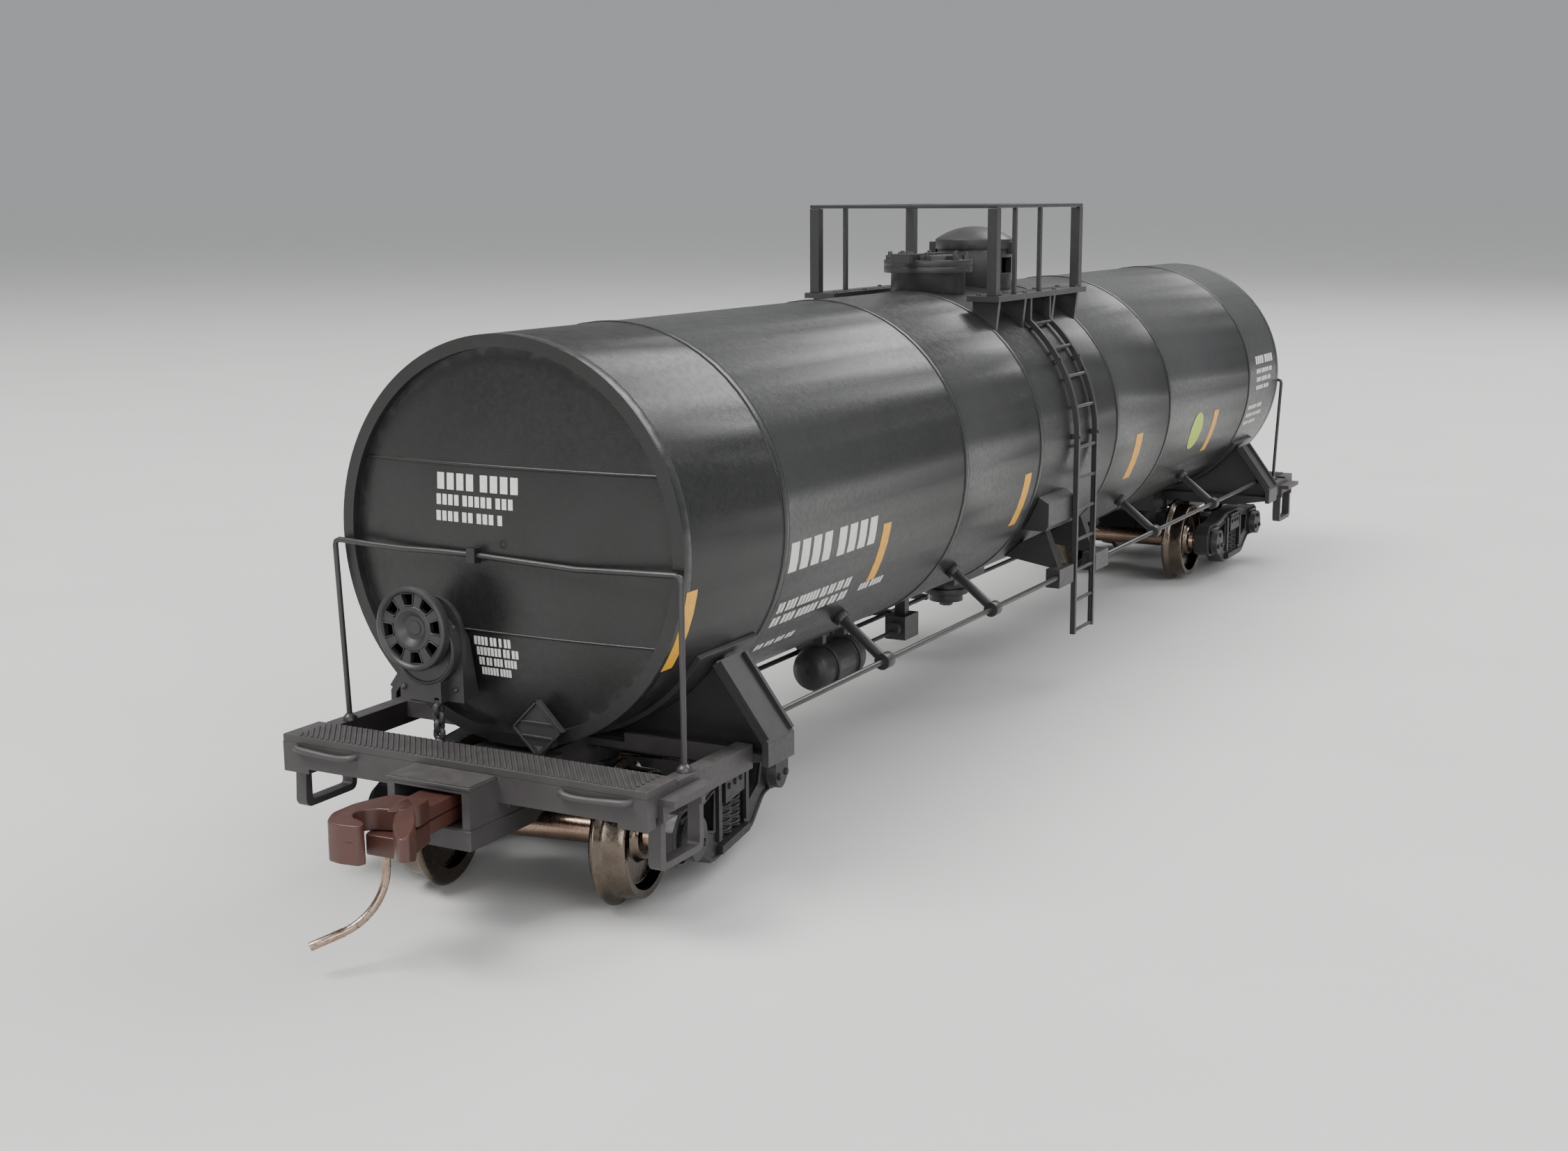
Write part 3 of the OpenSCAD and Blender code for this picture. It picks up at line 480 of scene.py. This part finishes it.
# Smaller blocks near the other end of each side.
FAR_LINES = (((4, 4), 74.5, 9.0, 12.5, 8.5), ((3, 5, 2), 74.5, 8.2, 6.0, 3.8),
             ((3, 4, 2), 74.5, 7.4, 1.8, -0.4), ((4, 3), 74.5, 6.6, -2.4, -4.4),
             ((5, 3), 72.0, 7.0, -12.0, -14.0), ((4, 2, 3), 72.0, 7.8, -16.2, -18.2),
             ((3, 4), 72.0, 6.0, -20.4, -22.2))
# Amber stripes: x at both edges, upper and lower angle.
STRIPES = ((-51.5, -49.9, -8.5, -28.6), (-16.7, -14.9, -8, -29), (20.2, 22.6, -7, -27.5),
           (53.8, 55.8, -8, -29))
# Round patch: x and angle at its middle, and its radius.
PATCH_AT, PATCH_R = (46.6, -15.4), 2.6


def round_patch(flank, x, angle, radius):
    """Round printed patch on the barrel."""
    rings, sides = 6, 40
    grid = [[(x + radius * r / rings * math.cos(2 * math.pi * k / sides),
              angle + math.degrees(radius * r / rings * math.sin(2 * math.pi * k / sides) / TANK_R))
             for k in range(sides)] for r in range(1, rings + 1)]
    verts = [flank(x, angle, 0.03)] + [flank(u, v, 0.03) for ring in grid for u, v in ring]
    faces = [[0, 1 + k, 1 + (k + 1) % sides] for k in range(sides)]
    for r in range(rings - 1):
        a, b = 1 + r * sides, 1 + (r + 1) * sides
        faces += [[a + k, b + k, b + (k + 1) % sides, a + (k + 1) % sides] for k in range(sides)]
    return verts, faces


# The stripe beside the head's rim.
END_STRIPE = (8.0 - HALF_LEN, 9.6 - HALF_LEN, -9, -33)


def side_markings():
    """White blocks, amber stripes and a lime patch on both flanks, the same seen from either side."""
    for name, side in (("right", -1), ("left", 1)):
        def flank(x, angle, lift):
            return on_tank(x * -side, angle, lift, side)
        white = []
        for counts, start, length, top, bottom in SIDE_LINES + FAR_LINES:
            for a, b in word_blocks(counts, length):
                white.append(film(flank, start + a, start + b, bottom, top, 2, 6, 0.02))
        piece("side_markings_" + name, join(white), "marking_white", smooth=80)
        stripes = [film(flank, x0, x1, a1, a0, 14, 22) for x0, x1, a0, a1 in STRIPES]
        x0, x1, a0, a1 = END_STRIPE
        stripes.append(film(flank, x0, x1, a1, a0, 1, 18))
        piece("side_stripes_" + name, join(stripes), "marking_yellow", smooth=80)
        piece("side_patch_" + name, round_patch(flank, *PATCH_AT, PATCH_R), "marking_lime", smooth=80)


# ---- end platforms ----

def both_ends(part):
    return [part, moved(part, TURN_ROUND)]


def per_end(name, parts, slot, replaces=(), **how):
    """The same piece at end b and, turned round, at end a."""
    for end, mesh in zip("ba", both_ends(join(parts))):
        piece(f"{name}_{end}", mesh, slot, replaces=[f"{node}_{end}" for node in replaces], **how)


def slanted_bar(p, q, wide, high):
    """Ridge with a narrow top from p to q along a board."""
    p, q = Vector(p), Vector(q)
    along = (q - p).normalized()
    side = along.cross(Vector((0, 0, 1))).normalized() * wide / 2
    top = Vector((0, 0, high))
    rings = [[at - side, at + side, at + side * 0.45 + top, at - side * 0.45 + top] for at in (p, q)]
    return ring_stack(rings)


def treads():
    """Fine slanted ridges on the walkways, clipped at the board's ends."""
    bars = []
    edge, reach, pitch, slope, half = 0.14, 3.9, 0.55, 0.8, 16.25
    for k in range(-8, 62):
        y0 = -half + k * pitch
        y1 = y0 + reach * slope
        if y1 < -half + 0.2 or y0 > half - 0.2:
            continue
        low, high = max(y0, -half), min(y1, half)
        ends = [at_end_b(edge + (y - y0) / slope, y, DECK_Z - 0.02) for y in (low, high)]
        bars.append(slanted_bar(*ends, 0.34, 0.13))
    per_end("tread_ridges", bars, "frame_plastic", smooth=20)


def grab_irons():
    """Moulded grab irons with the slight sag and soft ends of the real ones."""
    bars = []
    for s in (-1, 1):
        path = [(0.1, 16.1, 11.75), (-0.32, 15.95, 11.74), (-0.47, 15.4, 11.7), (-0.47, 14, 11.6),
                (-0.45, 12.6, 11.52), (-0.45, 11.2, 11.5), (-0.42, 10.5, 11.58), (-0.30, 10.05, 11.66),
                (0.1, 9.95, 11.68)]
        bars.append(tube([at_end_b(u, s * y, z) for u, y, z in path],
                         [0.26, 0.28, 0.27, 0.28, 0.25, 0.27, 0.28, 0.28, 0.26], 12))
    parts = both_ends(join(bars))
    piece("grab_irons_bent", join(parts), "frame_plastic", smooth=60, replaces=["grab_irons"])


def handrails():
    """Hand-bent wire rails, a little out of true, with their sockets."""
    u = 6.7
    path = [(16.2, 12.5), (16.42, 18), (16.7, 24), (16.85, 27.3), (16.75, 27.62), (16.4, 27.78), (13, 27.64),
            (9.7, 27.56), (6, 27.62), (2.6, 27.6), (0, 27.5), (-2.3, 27.42), (-7.2, 27.25), (-12, 27.42),
            (-16.1, 27.55), (-16.5, 27.4), (-16.62, 27.0), (-16.6, 22), (-16.63, 17), (-16.62, 12.5)]
    parts = [tube([at_end_b(u, y, z) for y, z in path], 0.24, 14)]
    for y in (-16.62, 16.2):
        parts.append(turned([(12.4, 0.5), (12.4, 0.62), (12.7, 0.6), (12.85, 0.42), (13.0, 0.3)], "z",
                            at_end_b(u, y, 0), 24))
    per_end("handrail_wire", parts, "wire_painted", smooth=60, replaces=["handrail"])


def chain():
    """Chain of long links, each turned a quarter from the last."""
    links = []
    x, y = 4.1, 4.66
    for i in range(4):
        z = DECK_Z + 0.62 + i * 0.68
        loop = []
        for k in range(20):
            t = 2 * math.pi * k / 20
            across = 0.33 * math.cos(t)
            rise = 0.22 * math.sin(t) + (0.16 if math.sin(t) > 0 else -0.16)
            loop.append(at_end_b(x + (across if i % 2 else 0), y + (0 if i % 2 else across), z + rise))
        links.append(tube(loop, 0.25, 8, closed=True))
    foot = [(DECK_Z - 0.02, 0.4), (DECK_Z + 0.2, 0.36), (DECK_Z + 0.28, 0.2)]
    links.append(turned(foot, "z", at_end_b(x, y, 0), 20))
    links.append(turned([(DECK_Z + 2.9, 0.26), (DECK_Z + 3.42, 0.28)], "z", at_end_b(x, y, 0), 16))
    piece("chain_links", join(links), "detail_plastic", smooth=60, replaces=["brake_chain"])


def placard_frames():
    """Raised border and the two bars across each placard."""
    y0, z0, half = -3.45, 14.2, 1.66
    turn = Matrix.Translation(Vector((0, y0, z0))) @ Matrix.Rotation(math.radians(45), 4, "X")
    edge = 0.17
    x0, x1 = -HALF_LEN + 5.98, -HALF_LEN + 6.4
    bars = []
    for a in (-half, half - edge):
        bars.append(moved(block((x0, a, -half), (x1, a + edge, half)), turn))
        bars.append(moved(block((x0, -half, a), (x1, half, a + edge)), turn))
    for dz in (-0.62, 0.55):
        reach = half * math.sqrt(2) - abs(dz) - 0.25
        bars.append(block((x0 + 0.06, y0 - reach, z0 + dz - 0.09), (x1, y0 + reach, z0 + dz + 0.09)))
    per_end("placard_frame", bars, "detail_plastic", smooth=30, bevel_mm=0.04)


def draft_box_trim():
    """Lips round the draft box mouth and along the joint with its cover."""
    bars = [block(at_end_b(-3.5, -4.0, 8.42), at_end_b(8.9, 4.0, 8.62)),
            block(at_end_b(-3.5, -4.0, 11.75), at_end_b(-0.1, 4.0, 12.02))]
    for s in (-1, 1):
        y0, y1 = sorted((s * 3.85, s * 4.05))
        bars.append(block(at_end_b(1.3, y0, 9.2), at_end_b(1.7, y1, 11.3)))
        bars.append(block(at_end_b(5.2, y0, 9.2), at_end_b(5.6, y1, 11.3)))
    per_end("draft_box_trim", bars, "frame_plastic", smooth=30, bevel_mm=0.06)


# ---- brake wheel ----

WHEEL_Y, WHEEL_Z = 6.1, 22.0


def hand_wheel():
    """Hand wheel: rolled rim, eight slots with raised edges and a dished hub."""
    centre = at_end_b(0, WHEEL_Y, WHEEL_Z)
    rim = [(3.42, 2.86), (3.0, 2.86), (2.84, 2.92), (2.70, 3.06), (2.64, 3.22), (2.72, 3.38), (2.95, 3.45),
           (3.42, 3.44)]
    hub = [(3.42, 0.02), (3.42, 1.84), (2.95, 1.84), (2.88, 1.76), (2.84, 1.6), (2.88, 1.48), (3.26, 1.02),
           (3.34, 0.9), (3.34, 0.02)]
    parts = [turned(rim, "x", centre, 72), turned(hub, "x", centre, 64)]
    for i in range(8):
        turn = Matrix.Translation(Vector(centre)) @ Matrix.Rotation(math.radians(i * 45 + 15.5), 4, "X")
        rings = [[(3.42, -w, r), (3.42, w, r), (2.98, w, r), (2.92, w * 0.8, r), (2.92, -w * 0.8, r),
                  (2.98, -w, r)] for r, w in ((1.7, 0.30), (3.0, 0.50))]
        parts.append(moved(ring_stack(rings), turn))
        turn = Matrix.Translation(Vector(centre)) @ Matrix.Rotation(math.radians(i * 45 - 7), 4, "X")
        slot = rounded([(-0.42, 1.86), (0.42, 1.86), (0.64, 2.84), (-0.64, 2.84)], 0.16, 3)
        parts.append(moved(tube([(2.91, y, z) for y, z in slot], 0.06, 6, closed=True), turn))
    parts.append(turned([(3.3, 0.55), (6.2, 0.55)], "x", centre, 32))
    piece("hand_wheel", join(parts), "detail_plastic", body="brake_wheel", smooth=50, bevel_mm=0.05,
          replaces=["brake_wheel"])


def housing_trim():
    """Ring and rivets on the brake housing's face and flange."""
    ring = [(3.95, 2.7), (3.8, 2.76), (3.77, 2.86), (3.8, 2.98), (3.95, 3.05)]
    parts = [turned(ring, "x", at_end_b(0, WHEEL_Y - 0.3, 20.3), 64)]
    for y, z, u in ((-2.75, 16.9, 4.62), (-2.75, 22.0, 4.62), (1.75, 16.9, 3.77)):
        parts.append(turned([(u, 0.22), (u - 0.08, 0.19), (u - 0.13, 0.1), (u - 0.14, 0.02)], "x",
                            at_end_b(0, WHEEL_Y + y, z), 16))
    piece("housing_trim", join(parts), "detail_plastic", smooth=60)


# ---- couplers ----

# Heights on either side of the gap between a coupler's halves.
SPLIT_LOW, SPLIT_HIGH = 10.02, 10.08
# The post that a coupler swings on, in from the wagon's end, and how far it stands turned at rest.
POST_IN, COUPLER_TURN = 3, 5


def rounded(outline, radius, steps=4):
    """Outline with each corner replaced by a short curve."""
    out = []
    count = len(outline)
    for i in range(count):
        p = Vector(outline[i])
        before, after = Vector(outline[i - 1]) - p, Vector(outline[(i + 1) % count]) - p
        cut = min(radius, before.length * 0.45, after.length * 0.45)
        a, b = p + before.normalized() * cut, p + after.normalized() * cut
        for k in range(steps + 1):
            t = k / steps
            out.append(tuple(a * (1 - t) ** 2 + p * (2 * t * (1 - t)) + b * t ** 2))
    return out


def slope_prism(outline, low, high):
    """Prism whose bottom and top heights are functions of x and y."""
    return ring_stack([[(x, y, low(x, y)) for x, y in outline], [(x, y, high(x, y)) for x, y in outline]])


def level(z):
    """The height of a flat face, for slope_prism."""
    return lambda x, y: z


def couplers():
    """Two-part knuckle couplers: the hooked half above, the guard half below."""
    shank = [(-9.6, 1.55), (-9.6, -1.55), (-3.0, -1.6), (-3.0, 1.6)]
    eye = circle(2.45, 40)
    hook_top = rounded([(-9.3, 1.6), (-10.7, 2.35), (-12.4, 3.02), (-14.9, 3.15), (-16.0, 2.75),
                        (-16.28, 1.6), (-16.2, 0.0), (-15.5, -0.28), (-15.15, 0.55), (-14.95, 1.2),
                        (-14.2, 1.62), (-13.3, 1.45), (-12.75, 0.75), (-12.5, -0.4), (-12.35, -1.25),
                        (-11, -1.8), (-9.3, -1.6)], 0.35)
    hook_low = rounded([(-13.4, 2.95), (-14.9, 3.15), (-16.0, 2.75), (-16.28, 1.6), (-16.2, 0.0),
                        (-15.5, -0.28), (-15.15, 0.55), (-14.95, 1.2), (-14.2, 1.62), (-13.4, 1.55)], 0.3)
    wedge = [(-12.9, -0.2), (-10.4, 0.75), (-9.6, -0.2), (-10.8, -1.6), (-12.6, -1.2)]

    def knuckle_top(x, y):
        return 11.78 - 0.16 * max(0.0, -14.6 - x)

    knuckle = [prism(shank, SPLIT_HIGH, 11.12), prism(eye, SPLIT_HIGH, 11.12),
               slope_prism(hook_top, level(SPLIT_HIGH), knuckle_top), prism(hook_low, 8.5, SPLIT_HIGH + 0.3)]
    ridge = ring_stack([[(x, y, 11.6) for x, y in wedge],
                        [(-11.3 + (x + 11.3) * 0.55, -0.35 + (y + 0.35) * 0.25, 11.98) for x, y in wedge]])
    knuckle.append(ridge)

    guard_arm = rounded([(-12.6, -1.35), (-13.7, -1.5), (-15.2, -2.35), (-16.3, -3.35), (-16.62, -3.95),
                         (-16.1, -4.3), (-14.6, -3.85), (-12.9, -2.75), (-12.2, -2.2)], 0.3)

    def guard_top(x, y):
        return 11.88 - 0.30 * max(0.0, -14.2 - x)

    def guard_bottom(x, y):
        return 8.9 + 0.25 * max(0.0, -14.6 - x)

    web = rounded([(-9.3, 1.6), (-11.6, 1.75), (-12.6, 1.45), (-13.6, 1.25), (-13.68, -1.6), (-12.7, -2.35),
                   (-10.9, -1.9), (-9.3, -1.6)], 0.3)
    guard = [prism(shank, 8.95, SPLIT_LOW), prism(eye, 8.95, SPLIT_LOW),
             slope_prism(web, level(8.42), level(SPLIT_LOW)), slope_prism(guard_arm, guard_bottom, guard_top)]
    for end in "ba":
        place = about_pivot(end, POST_IN, COUPLER_TURN)
        piece("knuckle_half_" + end, moved(join(knuckle), place), "coupler_plastic", body="knuckle_" + end,
              smooth=40, bevel_mm=0.13, replaces=[f"coupler_{end}_knuckle"])
        piece("guard_half_" + end, moved(join(guard), place), "coupler_plastic", body="coupler_" + end,
              smooth=40, bevel_mm=0.13, replaces=[f"coupler_{end}_guard"])


# ---- trucks ----

AXLE_Z = 5.88
HALF_WHEELBASE = 10.2
# Outer face of a side frame, from the truck's middle.
FRAME_FACE = 13.2
# The screw that a truck turns on, in from the wagon's end, and how far each truck stands turned at rest.
TRUCK_PIVOT = 17.7
TRUCK_TURN = {"b": 10, "a": 0}


def frame_rim(s):
    """Raised rim along the outline of the side frame on side s, which is -1 or 1."""
    a = HALF_WHEELBASE
    outline = [(-a - 3, 4.7), (-a - 3, 7.2), (-a - 1.8, 8.3), (-a + 2, 8.4), (-4.4, 9.3), (4.4, 9.3),
               (a - 2, 8.4), (a + 1.8, 8.3), (a + 3, 7.2), (a + 3, 4.7), (a + 1.9, 4.1), (a - 1.9, 4.1),
               (4.9, 2), (-4.9, 2), (-a + 1.9, 4.1), (-a - 1.9, 4.1)]
    middle = Vector((0, 6))
    corners = [Vector(p) for p in rounded(outline, 0.6, 3)]
    inset = [q + (middle - q).normalized() * 0.24 for q in corners]
    return tube([(q.x, s * FRAME_FACE, q.y) for q in inset], 0.2, 8, closed=True)


def wheel_end(s, sx):
    """Window rim, bearing cap with three bolts, adapter and column at one axle end of a side frame."""
    face, x = s * FRAME_FACE, sx * HALF_WHEELBASE
    window = rounded([(sx * 4.1, 4.4), (sx * 6.9, 5.3), (sx * 7.6, 7.4), (sx * 4.1, 8)], 0.3, 3)
    parts = [tube([(u, face, z) for u, z in window], 0.15, 8, closed=True)]
    cap = [(13.1, 1.9), (13.5, 1.88), (13.6, 1.72), (14.1, 1.6), (14.25, 1.35), (14.3, 0.9), (14.34, 0.02)]
    parts.append(turned([(s * u, r) for u, r in cap], "y", (x, 0, AXLE_Z), 40))
    for k in range(3):
        t = math.radians(90 + 120 * k)
        at = (x + 1.08 * math.cos(t), 0, AXLE_Z + 1.08 * math.sin(t))
        parts.append(turned([(s * u, r) for u, r in ((14.2, 0.34), (14.5, 0.32), (14.56, 0.2))], "y", at, 6))
    parts.append(raised(face, s * 0.35, x - 1.9, x + 1.9, 7.55, 7.95))
    parts.append(raised(face, s * 0.3, sx * 3.3 - 0.35, sx * 3.3 + 0.35, 3.4, 8.4))
    return parts


def side_casting(s):
    """Everything that stands proud of the side frame on side s."""
    parts = [frame_rim(s)]
    for sx in (-1, 1):
        parts += wheel_end(s, sx)
    for z, half in ((8.55, 2.2), (2.62, 3.3)):
        parts.append(raised(s * FRAME_FACE, s * 0.45, -half, half, z - 0.2, z + 0.2))
    rivet = ((13.4, 0.3), (13.75, 0.26), (13.8, 0.1))
    parts += [turned([(s * u, r) for u, r in rivet], "y", (x, 0, 7.6), 12) for x in (-1.4, 0, 1.4)]
    return parts


def coil_spring(x, y, hand):
    """Coil of five turns, wound right or left (hand 1 or -1)."""
    low, high, radius, turns, steps = 2.95, 6.4, 0.82, 5, 14
    path = []
    for k in range(turns * steps + 1):
        t = 2 * math.pi * k / steps
        path.append((x + radius * math.cos(t), y + hand * radius * math.sin(t),
                     low + (high - low) * k / (turns * steps)))
    return tube(path, 0.16, 6)


def trucks():
    """Raised castings and coil springs on both trucks' side frames."""
    castings = join([part for s in (-1, 1) for part in side_casting(s)])
    springs = join([coil_spring(x, s * 12.25, hand)
                    for s in (-1, 1) for x in (-2.1, 0, 2.1) for hand in (-1, 1)])
    for end, turn in TRUCK_TURN.items():
        place = about_pivot(end, TRUCK_PIVOT, turn)
        piece("truck_castings_" + end, moved(castings, place), "truck_plastic", body="truck_" + end,
              smooth=45, bevel_mm=0.05)
        piece("truck_springs_" + end, moved(springs, place), "truck_plastic", body="truck_" + end, smooth=80)


# ---- top and side fittings ----

def ladder_bolts():
    """Bolt heads where the ladders and the footboards are fixed."""
    heads = []
    head = ((0, 0.24), (0.16, 0.22), (0.2, 0.1))
    reach = TANK_R + 0.85
    for s in (-1, 1):
        for x in (-3.0, 3.0):
            for t in (math.radians(1), math.radians(31)):
                profile = [(s * (reach * math.cos(t) + u), r) for u, r in head]
                heads.append(turned(profile, "y", (x, 0, TANK_Z + reach * math.sin(t)), 8))
        for x in (-12.0, -4.5, 4.5, 12.0):
            for y in (8.7, 11.1):
                heads.append(turned([(44.75, 0.26), (44.95, 0.24), (45.0, 0.1)], "z", (x, s * y, 0), 10))
    piece("fitting_bolts", join(heads), "detail_plastic", smooth=40)


def saddle_trim():
    """Flange edges on the bolster braces."""
    bars = []
    for s in (-1, 1):
        for u in (15.6, 19.5):
            rings = []
            for y, z in ((14.6, 18.8), (18.95, 12.9)):
                section = ((u - 0.12, y - 0.1, z), (u + 0.3, y - 0.1, z),
                           (u + 0.3, y + 0.22, z + 0.22), (u - 0.12, y + 0.22, z + 0.22))
                rings.append([at_end_b(a, s * b, c) for a, b, c in section])
            bars.append(ring_stack(rings))
    per_end("saddle_trim", bars, "detail_plastic", smooth=30, bevel_mm=0.04)


# ---- stage ----

# The camera's place in mm, its turn in degrees and its focal length in mm.
CAMERA_AT = (-209.4, -91.55, 55.26)
CAMERA_YAW, CAMERA_PITCH, CAMERA_ROLL = 28.46, -10.95, -0.3
LENS = 44.77
# Strength of the glow that brings the far floor up to the tone of the surroundings.
GLOW = 0.75


def make_camera():
    """Camera at the photo's viewpoint and angle."""
    yaw, pitch, roll = (math.radians(a) for a in (CAMERA_YAW, CAMERA_PITCH, CAMERA_ROLL))
    ahead = Vector((math.cos(pitch) * math.cos(yaw), math.cos(pitch) * math.sin(yaw), math.sin(pitch)))
    level = ahead.cross(Vector((0, 0, 1))).normalized()
    upright = level.cross(ahead)
    right = level * math.cos(roll) + upright * math.sin(roll)
    up = upright * math.cos(roll) - level * math.sin(roll)
    data = bpy.data.cameras.new("camera")
    data.sensor_width = 36
    data.lens = LENS
    data.clip_start = 0.01
    data.clip_end = 60
    camera = bpy.data.objects.new("camera", data)
    bpy.context.collection.objects.link(camera)
    turn = Matrix((right, up, -ahead)).transposed().to_4x4()
    camera.matrix_world = Matrix.Translation(Vector(CAMERA_AT) * MM) @ turn
    bpy.context.scene.camera = camera


def area_light(name, at, size, watts, colour=(1, 1, 1), aim=(0, 0, 0.02)):
    data = bpy.data.lights.new(name, "AREA")
    data.shape = "RECTANGLE"
    data.size, data.size_y = size
    data.energy = watts
    data.color = colour
    light = bpy.data.objects.new(name, data)
    bpy.context.collection.objects.link(light)
    light.location = at
    light.rotation_mode = "QUATERNION"
    light.rotation_quaternion = (Vector(aim) - Vector(at)).to_track_quat("-Z", "Y")


def make_stage():
    """Wide pale floor that fades into even surroundings, four soft lights and a soft glow from above."""
    verts = [(-20, -20, 0), (20, -20, 0), (20, 20, 0), (-20, 20, 0)]
    data = bpy.data.meshes.new("floor")
    data.from_pydata(verts, [], [[0, 1, 2, 3]])
    floor = bpy.data.objects.new("floor", data)
    bpy.context.collection.objects.link(floor)
    n = Nodes("floor_paper")
    tone = n.mix(n.between(n.noise(40, 3), 0, 1), (0.60, 0.60, 0.59), (0.63, 0.63, 0.62))
    n.put(n.shader, "Base Color", tone)
    n.put(n.shader, "Roughness", n.between(n.noise(3, 2), 0.7, 0.8))
    data.materials.append(n.material)
    world = bpy.data.worlds.new("surroundings")
    bpy.context.scene.world = world
    world.use_nodes = True
    world.node_tree.nodes["Background"].inputs["Color"].default_value = (0.80, 0.82, 0.84, 1)
    world.node_tree.nodes["Background"].inputs["Strength"].default_value = 0.45
    area_light("key", (-0.45, 0.30, 0.75), (0.5, 0.35), 9.0, (1, 0.98, 0.96))
    area_light("fill", (-0.35, -0.75, 0.45), (0.7, 0.5), 4.0, (0.97, 0.98, 1))
    area_light("back", (0.5, -0.2, 0.6), (0.6, 0.4), 5.0)
    area_light("low", (-0.75, -0.25, 0.16), (0.5, 0.25), 1.6)
    glow = bpy.data.lights.new("glow", "SUN")
    glow.energy = GLOW
    glow.angle = math.radians(70)
    above = bpy.data.objects.new("glow", glow)
    above.rotation_euler = (math.radians(15), math.radians(-15), 0)
    bpy.context.collection.objects.link(above)


make_camera()
make_stage()
finish_cad_nodes()
head_seams()
head_markings()
side_markings()
treads()
grab_irons()
handrails()
chain()
placard_frames()
draft_box_trim()
hand_wheel()
housing_trim()
couplers()
trucks()
ladder_bolts()
saddle_trim()

bpy.context.view_layer.update()
